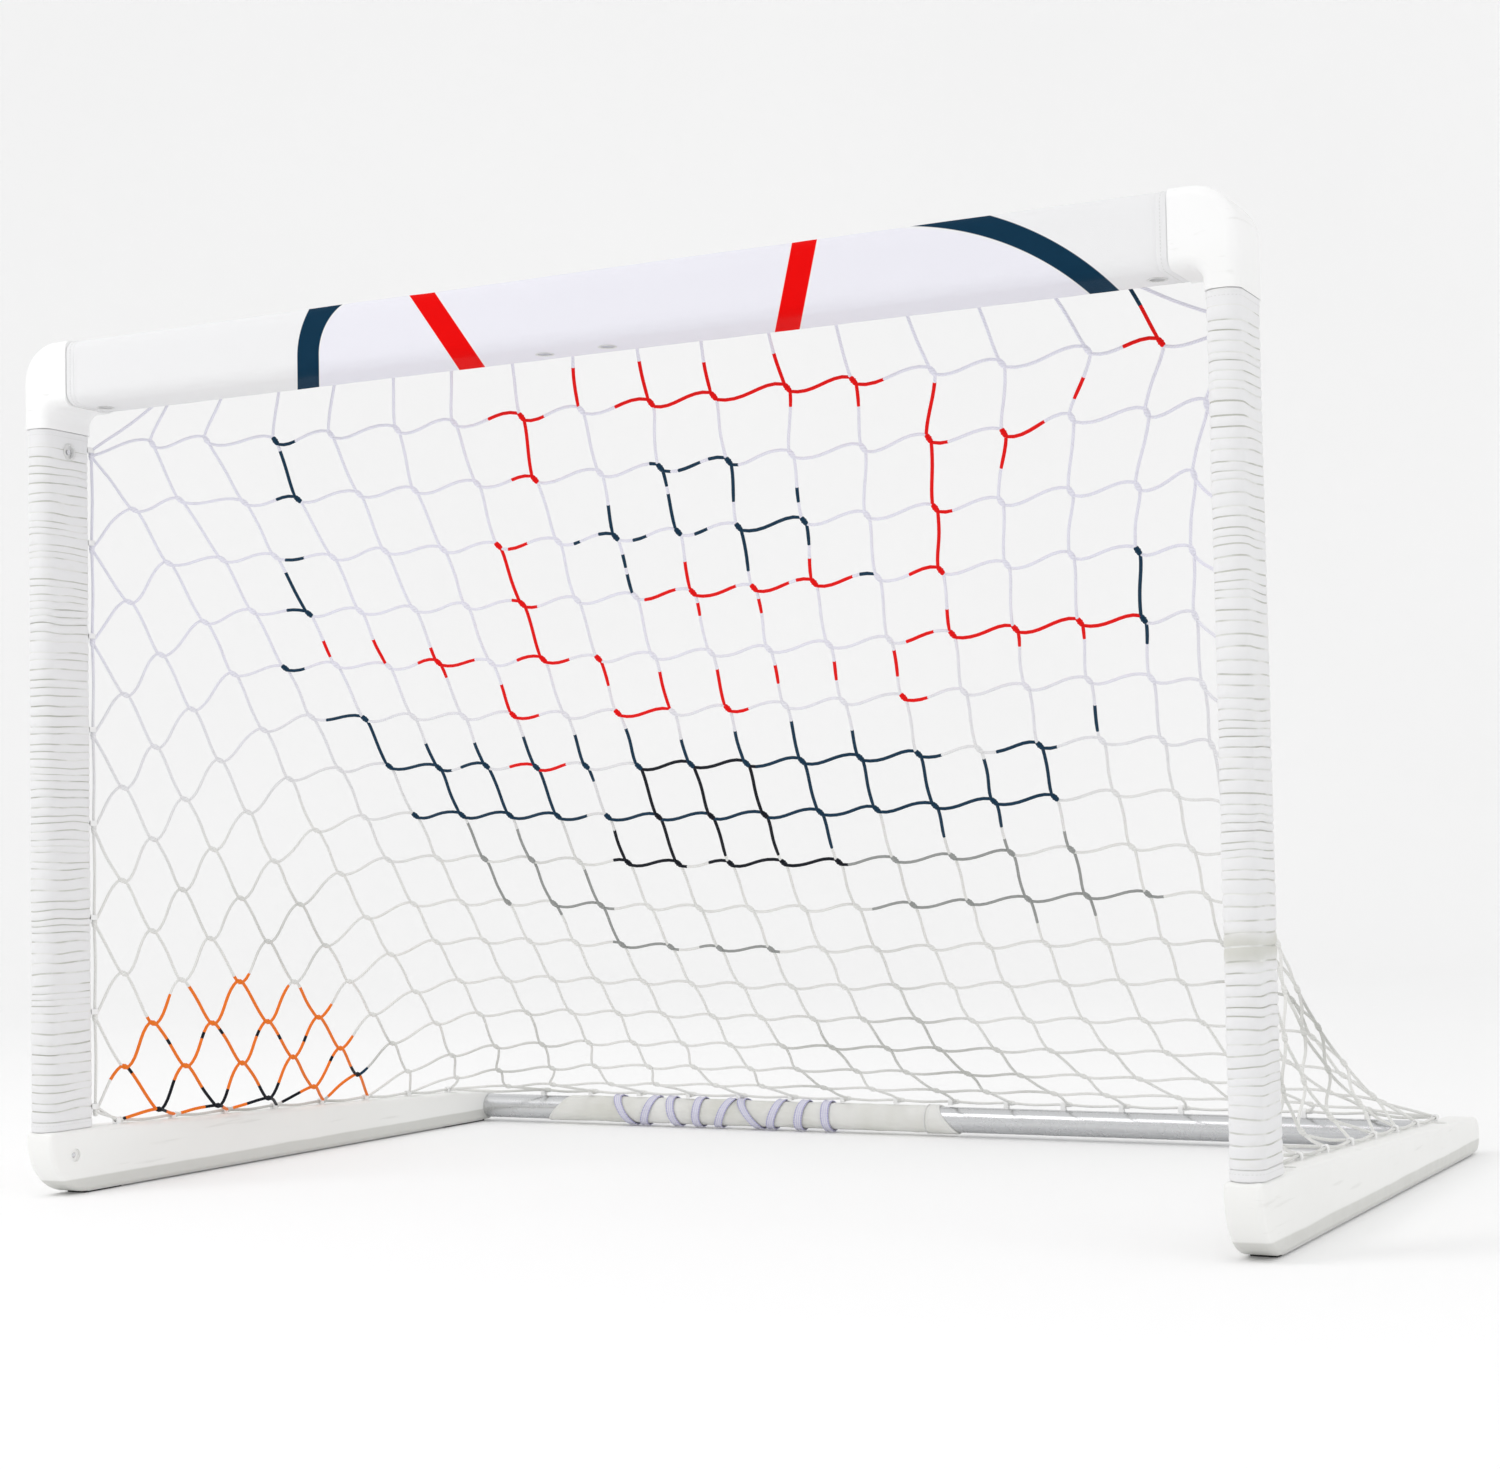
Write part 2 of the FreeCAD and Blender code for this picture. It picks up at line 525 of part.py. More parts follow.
def button_list():
    """Every right-hand and left-hand button: name, centre, direction, tube axis, outer and inner radius."""
    rows = []
    for side, sign in (("left", -1.0), ("right", 1.0)):
        inward = (-sign, 0, 0)
        rows += [
            (side + "_post_foot_button", (sign * POST_X, BAR_Y, RAIL_BUTTON_Z), inward, (0, 0, 1),
             TUBE_RADIUS, TUBE_RADIUS - TUBE_WALL),
            (side + "_post_top_button", (sign * POST_X, BAR_Y, POST_BUTTON_Z), inward, (0, 0, -1),
             SPIGOT_RADIUS, SPIGOT_RADIUS - SPIGOT_WALL),
            (side + "_crossbar_end_button", (sign * BAR_BUTTON_X, BAR_Y, BAR_Z), (0, 0, -1), inward,
             SPIGOT_RADIUS, SPIGOT_RADIUS - SPIGOT_WALL),
            (side + "_crossbar_middle_button", (sign * FERRULE_BUTTON_X, BAR_Y, BAR_Z), (0, 0, -1),
             inward, SPIGOT_RADIUS, SPIGOT_RADIUS - SPIGOT_WALL),
            (side + "_rear_end_button", (sign * REAR_BUTTON_X, REAR_TUBE_Y, REAR_TUBE_Z), (0, 1, 0),
             inward, REAR_TUBE_RADIUS, REAR_TUBE_RADIUS - TUBE_WALL),
            (side + "_rear_middle_button", (sign * REAR_FERRULE_BUTTON_X, REAR_TUBE_Y, REAR_TUBE_Z),
             (0, 1, 0), inward, REAR_FERRULE_RADIUS, REAR_FERRULE_RADIUS - REAR_FERRULE_WALL),
        ]
    return rows


def make_button(centre, direction, outer, inner):
    """A round-tipped button whose flange sits inside the tube wall."""
    place, out = Vector(*centre), Vector(*direction)
    flange_end = (inner ** 2 - BUTTON_FLANGE_RADIUS ** 2) ** 0.5 - LOOSE
    flange = Part.makeCylinder(BUTTON_FLANGE_RADIUS, BUTTON_FLANGE,
                               place + out * (flange_end - BUTTON_FLANGE), out)
    tip_end = outer + BUTTON_STAND
    root = flange_end - BUTTON_ROOT
    stem = Part.makeCylinder(BUTTON_RADIUS, tip_end - root, place + out * root, out)
    tip = [e for e in stem.Edges if e.Closed and (e.CenterOfMass - place).dot(out) > tip_end - LOOSE]
    return flange.fuse(stem.makeFillet(BUTTON_TIP_ROUND, tip))


def make_spring(centre, direction, axis, inner):
    """A folded leaf spring: one leg under the button's flange, the other on the far wall."""
    place, out, along = Vector(*centre), Vector(*direction), Vector(*axis)
    across = out.cross(along)
    top = (inner ** 2 - BUTTON_FLANGE_RADIUS ** 2) ** 0.5 - LOOSE - BUTTON_FLANGE - LOOSE
    low = -((inner ** 2 - SPRING_HALF_WIDTH ** 2) ** 0.5 - LOOSE)

    def slab(a0, a1, w0, w1, half_width):
        corners = [(a0, w0), (a1, w0), (a1, w1), (a0, w1), (a0, w0)]
        points = [place + along * a + out * w - across * half_width for a, w in corners]
        return Part.Face(Part.makePolygon(points)).extrude(across * (2 * half_width))

    heel, toe = -SPRING_HEEL, SPRING_LENGTH - SPRING_HEEL
    outside = slab(heel, toe, low, top, SPRING_HALF_WIDTH)
    inside = slab(heel - SPRING_LEAD, toe - SPRING_LEAF, low + SPRING_LEAF, top - SPRING_LEAF,
                  SPRING_HALF_WIDTH + SPRING_LEAD)
    return outside.cut(inside)


# ---------------------------------------------------------------- net clips and net

def make_clip(eye, up, along, stand):
    """A small moulded eyelet: a rounded lug with a hole along it, standing on a surface."""
    centre, rise, axis = Vector(*eye), Vector(*up), Vector(*along)
    start = centre - axis * (CLIP_LENGTH / 2)
    lug = Part.makeCylinder(CLIP_RADIUS, CLIP_LENGTH, start, axis)
    side = rise.cross(axis)
    corners = [side * CLIP_RADIUS, side * CLIP_RADIUS - rise * stand, side * -CLIP_RADIUS - rise * stand,
               side * -CLIP_RADIUS, side * CLIP_RADIUS]
    foot = Part.Face(Part.makePolygon([start + c for c in corners])).extrude(axis * CLIP_LENGTH)
    eye_hole = Part.makeCylinder(CLIP_EYE_RADIUS, CLIP_LENGTH, start, axis)
    return lug.fuse(foot).cut(eye_hole)


def column_x(i, pitch):
    """X of net column i, counted from the left."""
    return (i - (MESH_COLUMNS - 1) / 2) * pitch


def post_clip_heights():
    """Heights of the eyelets up each post."""
    low = RAIL_FRONT_Z + POST_CLIP_LOW
    pitch = (CORNER_BOTTOM_Z - POST_CLIP_HIGH - low) / (POST_CLIPS - 1)
    return [low + i * pitch for i in range(POST_CLIPS)]


def rail_clip_places():
    """Y of the eyelets along each rail."""
    pitch = (RAIL_CLIP_END_Y - RAIL_CLIP_START_Y) / (RAIL_CLIPS - 1)
    return [RAIL_CLIP_START_Y + i * pitch for i in range(RAIL_CLIPS)]


def make_bar_clips():
    """Eyelets along the back of the crossbar sleeve."""
    eye_y = BAR_REAR_Y + CLIP_REACH
    return Part.makeCompound([make_clip((column_x(i, BAR_PITCH), eye_y, NET_TOP_Z), (0, 1, 0), (1, 0, 0),
                                        CLIP_REACH) for i in range(MESH_COLUMNS)])


def make_post_clips():
    """Eyelets up the back of both post sleeves."""
    clips, sleeve = [], make_post_sleeve()
    for z in post_clip_heights():
        clip = make_clip((RAIL_INNER_X + POST_CLIP_INSET, BAR_REAR_Y + CLIP_REACH, z), (0, 1, 0), (0, 0, 1),
                         CLIP_REACH + SLEEVE_CORNER / 2)
        clip = clip.cut(sleeve)
        clips += [clip, mirrored(clip)]
    return Part.makeCompound(clips)


def make_rail_clips():
    """Eyelets along the top of both rails, near the inner edge."""
    clips = []
    for y in rail_clip_places():
        top = rail_top(y + CLIP_LENGTH / 2)
        clip = make_clip((RAIL_INNER_X + RAIL_CLIP_INSET, y, top + CLIP_REACH), (0, 0, 1), (0, 1, 0),
                         CLIP_REACH)
        clip = clip.cut(rail_outline().extrude(Vector(RAIL_WIDTH, 0, 0)))
        clips += [clip, mirrored(clip)]
    return Part.makeCompound(clips)


def make_rear_clips():
    """Eyelets on top of the rear tube, standing on the wrap where it covers the tube."""
    clips = []
    eye_z = REAR_TUBE_Z + WRAP_RADIUS + CLIP_REACH
    for i in range(MESH_COLUMNS):
        x = column_x(i, REAR_PITCH)
        wrapped = WRAP_START_X - CLIP_LENGTH < x < WRAP_END_X + CLIP_LENGTH
        seat = WRAP_RADIUS if wrapped else REAR_TUBE_RADIUS
        clip = make_clip((x, REAR_TUBE_Y, eye_z), (0, 0, 1), (1, 0, 0), CLIP_REACH + WRAP_RADIUS / 2)
        core = cylinder(seat, (x - CLIP_LENGTH, REAR_TUBE_Y, REAR_TUBE_Z), (1, 0, 0), 2 * CLIP_LENGTH)
        clips.append(clip.cut(core))
    return Part.makeCompound(clips)


def sag_point(t):
    """Depth and height of the net's hanging curve, from the crossbar at 0 to the rear tube at 1."""
    top = (BAR_REAR_Y + CLIP_REACH + NET_CLEARANCE, NET_TOP_Z)
    low = (REAR_TUBE_Y - NET_CLEARANCE, REAR_TUBE_Z + WRAP_RADIUS + CLIP_REACH)
    bend = (NET_SAG_Y, NET_SAG_Z)
    return [top[i] * (1 - t) ** 2 + 2 * bend[i] * t * (1 - t) + low[i] * t ** 2 for i in (0, 1)]


def corner_half(t):
    """Half width of the back panel: full at the crossbar and the rear tube, drawn in between."""
    return NET_WAIST + NET_FLARE * abs(1 - 2 * t) ** 3


def back_edge(t, gap):
    """A point on the free corner between back and side panel, moved sideways by a gap."""
    y, z = sag_point(t)
    return Vector(corner_half(t) + gap, y, z)


def frame_path(t):
    """The side panel's outer edge: down the back of the post, then along the rail."""
    start_y = BAR_REAR_Y + CLIP_REACH + NET_CLEARANCE
    stand = CLIP_REACH + CLIP_RADIUS + NET_CLEARANCE
    foot = RAIL_FRONT_Z + stand
    if t <= NET_TURN:
        drop = NET_TOP_Z - NET_CLEARANCE - foot
        return Vector(NET_SIDE_X, start_y, foot + drop * (1 - t / NET_TURN))
    y = start_y + (RAIL_CLIP_END_Y - start_y) * (t - NET_TURN) / (1 - NET_TURN)
    return Vector(NET_SIDE_X, y, rail_top(y) + stand)


def thick_strip(first_edge, second_edge):
    """A closed solid around the ruled surface between two edges, each a list of points.

    The surface is split into flat triangles and thickened along its own averaged normals."""
    rows = list(zip(first_edge, second_edge))
    upper, lower = [], []
    for i, row in enumerate(rows):
        before, after = rows[max(i - 1, 0)], rows[min(i + 1, len(rows) - 1)]
        across = row[1] - row[0]
        shifts = [across.cross(after[k] - before[k]).normalize() * (NET_THICKNESS / 2) for k in (0, 1)]
        upper.append([row[k] + shifts[k] for k in (0, 1)])
        lower.append([row[k] - shifts[k] for k in (0, 1)])
    quads = [(upper[0][0], upper[0][1], lower[0][1], lower[0][0]),
             (upper[-1][0], lower[-1][0], lower[-1][1], upper[-1][1])]
    for i in range(len(rows) - 1):
        u0, u1, l0, l1 = upper[i], upper[i + 1], lower[i], lower[i + 1]
        quads += [(u0[0], u1[0], u1[1], u0[1]), (l0[0], l0[1], l1[1], l1[0]),
                  (u0[0], l0[0], l1[0], u1[0]), (u0[1], u1[1], l1[1], l0[1])]
    faces = []
    for a, b, c, d in quads:
        faces += [Part.Face(Part.makePolygon([a, b, c, a])), Part.Face(Part.makePolygon([a, c, d, a]))]
    solid = Part.Solid(Part.makeShell(faces))
    if solid.Volume < 0:
        solid.reverse()
    return solid


def net_shares():
    """Where the strips of the net's solids meet, as shares of the hanging curve."""
    return [i / NET_STRIPS for i in range(NET_STRIPS + 1)]


def make_net_back():
    """Back panel of the net, one slack sheet from crossbar to rear tube."""
    right = [back_edge(t, -NET_THICKNESS) for t in net_shares()]
    left = [Vector(-p.x, p.y, p.z) for p in right]
    return thick_strip(left, right)


def make_net_side():
    """Right side panel of the net, from the drawn-in back corner to the post and rail."""
    return thick_strip([back_edge(t, NET_THICKNESS) for t in net_shares()],
                       [frame_path(t) for t in net_shares()])


def make_group(pieces):
    """Several right-hand pieces and their mirror images as one node."""
    return Part.makeCompound([side for piece in pieces for side in (piece, mirrored(piece))])


def main():
    os.makedirs("parts", exist_ok=True)
    both_sides("rail", make_rail())
    both_sides("rail_plate", make_plate())
    save(make_group([plate_screw(x, y, 0.0) for x, y in plate_screw_places()]), "rail_plate_screws")
    save(make_grip_pads(), "grip_pads")
    both_sides("corner", make_corner())
    both_sides("corner_cover", make_corner_cover())
    save(make_group([cover_screw(x, z, 0.0) for x, z in COVER_SCREWS]), "corner_cover_screws")
    both_sides("upright_tube", make_upright())
    both_sides("crossbar_tube", make_bar_tube())
    save(make_ferrule(), "crossbar_ferrule")
    both_sides("rear_tube", make_rear_tube())
    save(make_rear_ferrule(), "rear_ferrule")
    both_sides("post_sleeve", make_post_sleeve())
    save(make_bar_sleeve(), "crossbar_sleeve")
    save(make_rear_wrap(), "rear_wrap")
    save(make_straps(), "wrap_straps")
    springs = []
    for name, centre, direction, axis, outer, inner in button_list():
        save(make_button(centre, direction, outer, inner), name)
        springs.append(make_spring(centre, direction, axis, inner))
    save(Part.makeCompound(springs), "button_springs")
    save(make_bar_clips(), "crossbar_net_clips")
    save(make_post_clips(), "post_net_clips")
    save(make_rail_clips(), "rail_net_clips")
    save(make_rear_clips(), "rear_net_clips")
    save(make_net_back(), "net_back")
    both_sides("net_side", make_net_side())


main()
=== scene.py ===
import json
import random
from math import atan2, cos, pi, radians, sin, tan

import bmesh
import bpy
import numpy as np
from mathutils import Matrix, Vector, noise


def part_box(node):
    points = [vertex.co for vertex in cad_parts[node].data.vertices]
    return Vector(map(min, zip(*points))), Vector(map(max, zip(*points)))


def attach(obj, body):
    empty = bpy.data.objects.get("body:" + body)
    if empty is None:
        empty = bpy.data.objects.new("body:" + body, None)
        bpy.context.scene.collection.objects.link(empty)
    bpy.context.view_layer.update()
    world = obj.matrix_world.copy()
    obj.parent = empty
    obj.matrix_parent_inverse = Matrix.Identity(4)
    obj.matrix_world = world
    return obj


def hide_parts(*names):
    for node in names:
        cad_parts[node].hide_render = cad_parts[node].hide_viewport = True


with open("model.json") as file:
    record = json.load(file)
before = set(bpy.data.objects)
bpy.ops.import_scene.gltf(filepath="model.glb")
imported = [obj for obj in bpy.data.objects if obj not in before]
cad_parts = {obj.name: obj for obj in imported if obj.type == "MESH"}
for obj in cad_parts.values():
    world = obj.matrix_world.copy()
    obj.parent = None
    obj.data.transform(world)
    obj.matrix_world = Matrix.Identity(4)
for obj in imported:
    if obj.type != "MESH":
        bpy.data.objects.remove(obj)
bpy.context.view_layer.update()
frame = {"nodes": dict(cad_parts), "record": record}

# The looks of a take-apart soccer goal: ribbed foam post sleeves, a printed crossbar sleeve, a padded
# wrap with braided straps on the back tube, and a knotted twine net hung by a small rope simulation.
# Metres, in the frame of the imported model: X along the crossbar, Y to the back, Z up.

# Camera
CAMERA_PLACE = (1.811, -3.611, 0.491)
CAMERA_YAW = 0.4711
CAMERA_PITCH = 0.04715
CAMERA_ROLL = -0.01848
CAMERA_LENS = 62.33

# Net
EYE_RADIUS = 0.005         # outer radius of a net eyelet
EYE_GAP = 0.02             # points further apart than this belong to two eyelets
GRAVITY = 9.81
TWINE = 0.0023             # radius of the twine
COLOURED_TWINE = 0.0026
ROPE = 0.0023              # radius of the rope round the net's edge
ROPE_STEP = 0.016
KNOT_HALF = 0.0062
KNOT_RADIUS = 0.0041
THREAD_WANDER = 0.0018     # how far a twine strays between two knots
TIE_SHIFT = 0.0085         # from an eyelet along the edge rope to the tie beside it
MESH_DOWN = 0.095          # length of twine between knots, down the back panel
MESH_ACROSS = 0.0917
MESH_ACROSS_TOP = 0.0988
ACROSS_CHANGE_ROWS = 5.9   # rows over which the upper spacing turns into the lower one
MESH_SIDE_DOWN = 0.097
MESH_SIDE_ACROSS = 0.084
MESH_ROWS = 17
NET_FLOOR = 0.006

# Sleeves, wrap and straps
RIB_PITCH = 0.013
SEAM_MARK = 2              # material of the pinched lines between ribs
RIB_STEPS = (0.0, 0.07, 0.18, 0.34, 0.5, 0.66, 0.82, 0.93)
RIB_WAVE = 0.0036          # how far the pinched lines wander up and down
HEM_STITCH = 0.009         # from a sleeve's end to the stitches of its hem
HEM_PITCH = 0.004
SLEEVE_CORNER = 0.020
TUBE_RADIUS = 0.0193
WINDOW_RADIUS = 0.010
HEM = 0.014
SEAM_SPANS = 160           # steps along the flap on the back of the crossbar sleeve
FLAP_HALF = 0.012
FLAP_RISE = 0.010          # height of the flap's middle above the bar's middle
PRINT_FACE_Y = -0.615      # depth of the crossbar sleeve's front face
PRINT_LEFT = (-0.318, 1.2174)   # x and z of the middle of the print's round left end
PRINT_RIGHT = (0.472, 0.870)
LEFT_RADII = (0.0728, 0.075, 0.113)   # of the panel, and of both edges of the dark band round it
RIGHT_RADII = (0.4158, 0.418, 0.4449)
STRIPE_Z = 1.190
STRIPES = ((0.148, 0.72, 0.021), (-0.3545, -0.24, 0.018))   # -x at STRIPE_Z, lean, half width
STRIPE_RIM = 0.0022        # white line along a stripe
BAR_SPANS = 200            # steps along the crossbar sleeve
WRAP_SLANT_LEFT = 0.046
WRAP_SLANT_RIGHT = 0.036
WRAP_HEM_X = 0.010         # where the sewn hem at the right end starts
WRAP_SPANS = 260
WRAP_SIDES = 60
STRAP_TILTS = (-30, 22, -14, 4, 26, -34, 20, 10, -4)   # degrees, one per strap
STRAP_WIDTH = 0.016
STRAP_DEPTH = 0.0022
STRAP_EDGE = 0.36          # where the beaded edge starts, from the middle, as a share of the width
BEAD_PITCH = 0.0048
BRAID_PITCH = 0.0052
SHARP = radians(38)        # a sharper turn than this between two faces stays an edge


# ---------------- materials

def srgb(red, green, blue):
    """A display colour, 0 to 255, as the linear colour that a shader takes."""
    def linear(level):
        level /= 255
        return level / 12.92 if level <= 0.04045 else ((level + 0.055) / 1.055) ** 2.4
    return (linear(red), linear(green), linear(blue), 1.0)


WHITE = srgb(241, 241, 242)
NAVY = srgb(15, 52, 76)
BLACK = srgb(16, 20, 30)
RED = srgb(238, 6, 6)
ORANGE = srgb(246, 124, 36)
GREY = srgb(158, 160, 158)
LAVENDER = srgb(238, 237, 246)


class Finish:
    """One procedural material, built node by node."""

    def __init__(self, name, roughness, metallic=0.0, specular=0.5, sheen=0.0, coat=0.0):
        self.material = bpy.data.materials.new(name)
        self.material.use_nodes = True
        self.tree = self.material.node_tree
        self.shader = self.tree.nodes["Principled BSDF"]
        self.set("Roughness", roughness)
        self.set("Metallic", metallic)
        self.set("Specular IOR Level", specular)
        self.set("Sheen Weight", sheen)
        self.set("Coat Weight", coat)
        coordinates = self.tree.nodes.new("ShaderNodeTexCoord")
        self.place = coordinates.outputs["Object"]
        self.uv = coordinates.outputs["UV"]
        self.normal = None

    def set(self, socket, value):
        """Give one of the shader's sockets a value or a link."""
        self.put(self.shader.inputs[socket], value)

    def put(self, socket, value):
        if isinstance(value, bpy.types.NodeSocket):
            self.tree.links.new(value, socket)
        else:
            socket.default_value = value

    def node(self, kind, inputs, output=0, **settings):
        """Add a node of one kind and return one of its outputs."""
        made = self.tree.nodes.new("ShaderNode" + kind)
        for key, value in settings.items():
            setattr(made, key, value)
        for key, value in inputs.items():
            self.put(made.inputs[key], value)
        return made.outputs[output]

    def math(self, operation, first, second=0.0):
        return self.node("Math", {0: first, 1: second}, operation=operation)

    def sum(self, *values):
        total = values[0]
        for value in values[1:]:
            total = self.math("ADD", total, value)
        return total

    def axis(self, index, source=None):
        """One coordinate of the place, or of the UV map."""
        return self.node("SeparateXYZ", {0: source or self.place}, output=index)

    def noise(self, scale, detail=3.0, stretch=(1.0, 1.0, 1.0), source=None):
        place = self.node("Mapping", {"Vector": source or self.place, "Scale": stretch})
        return self.node("TexNoise", {"Vector": place, "Scale": scale, "Detail": detail})

    def wave(self, value, pitch):
        """A sine of a coordinate, from -1 to 1, repeating every pitch."""
        return self.math("SINE", self.math("MULTIPLY", value, 2 * pi / pitch))

    def ramp(self, value, low, high, start=0.0, end=1.0):
        """Turn the range low to high of a value smoothly into start to end."""
        inputs = {"Value": value, 1: low, 2: high, 3: start, 4: end}
        return self.node("MapRange", inputs, interpolation_type="SMOOTHSTEP")

    def below(self, value, limit, blur=0.0006):
        """1 where a value is below a limit, 0 above it."""
        return self.ramp(value, limit - blur, limit + blur, 1.0, 0.0)

    def between(self, value, low, high, blur=0.0006):
        return self.math("SUBTRACT", self.below(value, high, blur), self.below(value, low, blur))

    def mix(self, share, first, second):
        """Blend two colours."""
        return self.node("Mix", {0: share, 6: first, 7: second}, output=2, data_type="RGBA")

    def bump(self, height, distance, strength=1.0):
        """Add relief on top of the relief added before."""
        inputs = {"Height": height, "Distance": distance, "Strength": strength}
        if self.normal:
            inputs["Normal"] = self.normal
        self.normal = self.node("Bump", inputs)
        self.set("Normal", self.normal)


def cloth(name, colour, shade, thread=0.0011, along=2, roughness=0.88, sheen=0.25):
    """Woven cloth: fine crossing threads, faint soft patches and a little sheen."""
    finish = Finish(name, roughness, specular=0.25, sheen=sheen)
    other = [finish.axis(k) for k in range(3) if k != along]
    weave = finish.math("MULTIPLY", finish.wave(finish.axis(along), thread),
                        finish.wave(finish.sum(*other), thread))
    patches = finish.ramp(finish.sum(finish.noise(7.0), finish.math("MULTIPLY", weave, 0.05)), 0.35, 0.75)
    finish.set("Base Color", finish.mix(patches, colour, shade))
    finish.bump(weave, 0.0002, 0.6)
    finish.bump(finish.noise(420.0, 2.0), 0.00025, 0.5)
    return finish


def post_cloth():
    """White ribbed sleeve cloth, with dust in it and a faint painted shadow band on the right post."""
    finish = cloth("post_cloth", WHITE, WHITE)
    dust_and_crease_shade = finish.ramp(finish.noise(30.0, 4.0, (1, 1, 3)), 0.5, 0.85, 0.0, 0.5)
    height = finish.sum(finish.axis(2), finish.math("MULTIPLY", finish.noise(14.0, 3.0), 0.03))
    # Painted shadow: a faint beige-grey band across the right post, about 0.37 to 0.40 m up.
    wear_and_painted_shade = finish.math("MULTIPLY", finish.between(height, 0.372, 0.402, 0.011),
                       finish.ramp(finish.axis(0), -0.1, 0.1))
    colour = finish.mix(dust_and_crease_shade, WHITE, srgb(236, 236, 233))
    finish.set("Base Color", finish.mix(finish.math("MULTIPLY", wear_and_painted_shade, 0.6), colour, srgb(198, 198, 184)))
    return finish


def seam_cloth():
    """The pinched lines between ribs, grey with painted shade in some stretches and nearly white in others.
    """
    finish = cloth("post_seams", WHITE, WHITE)
    # Painted shade in the creases: the pinched lines turn grey in patches.
    dust_and_crease_shade = finish.ramp(finish.noise(16.0, 3.0, (1, 1, 2.4)), 0.38, 0.62)
    finish.set("Base Color", finish.mix(dust_and_crease_shade, srgb(238, 238, 236), srgb(201, 201, 194)))
    return finish


def print_cloth():
    """The crossbar's printed cloth: a pale panel with a dark edge at both ends and two red stripes.

    The print narrows away from the front face, about the camera's place, so that its lines look straight
    under the bar from there. It reads no camera and stays fixed on the bar in every view."""
    finish = cloth("print_cloth", WHITE, LAVENDER, along=0, roughness=0.9, sheen=0.0)
    finish.set("Specular IOR Level", 0.08)
    narrowing = finish.math("DIVIDE", PRINT_FACE_Y - CAMERA_PLACE[1],
                            finish.math("SUBTRACT", finish.axis(1), CAMERA_PLACE[1]))

    def widened(index):
        away = finish.math("SUBTRACT", finish.axis(index), CAMERA_PLACE[index])
        return finish.math("ADD", finish.math("MULTIPLY", away, narrowing), CAMERA_PLACE[index])

    x, z = widened(0), widened(2)

    def positive(value):
        return finish.math("MAXIMUM", value, 0.0)

    def distance(first, second):
        squares = finish.sum(finish.math("POWER", first, 2.0), finish.math("POWER", second, 2.0))
        return finish.math("SQRT", squares)

    left = distance(positive(finish.math("SUBTRACT", PRINT_LEFT[0], x)),
                    positive(finish.math("SUBTRACT", z, PRINT_LEFT[1])))
    right = distance(positive(finish.math("SUBTRACT", x, PRINT_RIGHT[0])),
                     finish.math("SUBTRACT", z, PRINT_RIGHT[1]))
    height = finish.math("SUBTRACT", z, STRIPE_Z)
    speckle = finish.math("MULTIPLY", finish.noise(900.0, 1.0), 0.25)
    ground = finish.mix(speckle, LAVENDER, WHITE)
    panel = finish.math("MULTIPLY", finish.below(left, LEFT_RADII[0]), finish.below(right, RIGHT_RADII[0]))
    colour = finish.mix(panel, WHITE, ground)
    edges = finish.sum(finish.between(left, *LEFT_RADII[1:]), finish.between(right, *RIGHT_RADII[1:]))
    colour = finish.mix(edges, colour, NAVY)
    for shift, lean, half in STRIPES:
        away = finish.math("ABSOLUTE", finish.sum(x, shift, finish.math("MULTIPLY", height, lean)))
        outline = finish.math("MULTIPLY", finish.below(away, half + STRIPE_RIM), panel)
        stripe = finish.math("MULTIPLY", finish.below(away, half), panel)
        colour = finish.mix(stripe, finish.mix(outline, colour, WHITE), RED)
    finish.set("Base Color", colour)
    return finish


def wrap_cloth():
    """Cream padded cloth with soft folds in its relief and soft grey patches of painted shade."""
    # The grey that the cloth's patches blend to is painted shade.
    finish = cloth("wrap_cloth", srgb(243, 243, 240), srgb(222, 222, 214), along=0)
    finish.bump(finish.noise(55.0, 4.0, (1, 2, 2)), 0.0012, 0.7)
    return finish


def thread_finish():
    """Sewing thread."""
    finish = Finish("stitching", 0.7, specular=0.3, sheen=0.3)
    finish.set("Base Color", finish.mix(finish.noise(200.0), srgb(236, 236, 236), srgb(216, 216, 214)))
    finish.bump(finish.noise(3000.0, 1.0), 0.0002, 0.5)
    return finish


def twine(name, colour, low_colour=None):
    """Twisted net twine, three strands laid round each other, a little fuzzy, with painted shade in the
    grooves between the strands and faint random patches of wear. Given a low colour, it blends to that colour
    below the top of the net and takes painted grey shade in patches low down.
    """
    finish = Finish(name, 0.85, specular=0.15, sheen=0.12)
    run, turn = finish.axis(0, finish.uv), finish.axis(1, finish.uv)
    strands = finish.sum(finish.math("MULTIPLY", turn, 3.0), finish.math("MULTIPLY", run, 1 / 0.0046))
    ridge = finish.math("ABSOLUTE", finish.wave(strands, 2.0))
    soft = finish.noise(160.0, 3.0)
    base = colour
    if low_colour:
        patch = finish.math("MULTIPLY", finish.noise(5.0, 2.0), 0.30)
        base = finish.mix(finish.ramp(finish.sum(finish.axis(2), patch), 0.62, 1.05), low_colour, colour)
        # Painted shade: grey patches on the twine, strongest low on the net and gone above 0.75 m.
        grey = finish.ramp(finish.noise(2.6, 2.0), 0.5, 0.72, 0.0, 0.75)
        low = finish.ramp(finish.axis(2), 0.25, 0.75, 1.0, 0.0)
        base = finish.mix(finish.math("MULTIPLY", grey, low), base, srgb(186, 187, 182))
    # Painted shade: the grooves between the strands are darkened towards black, with faint random patches of
    # wear added.
    painted_groove_shade = finish.math("MULTIPLY", finish.ramp(ridge, 0.0, 0.5, 1.0, 0.0), 0.13)
    wear_and_painted_shade = finish.math("MULTIPLY", finish.ramp(soft, 0.4, 0.8), 0.05)
    finish.set("Base Color", finish.mix(finish.sum(painted_groove_shade, wear_and_painted_shade), base, BLACK))
    finish.bump(ridge, 0.0006, 0.8)
    finish.bump(finish.noise(1500.0, 2.0), 0.0003, 0.4)
    return finish


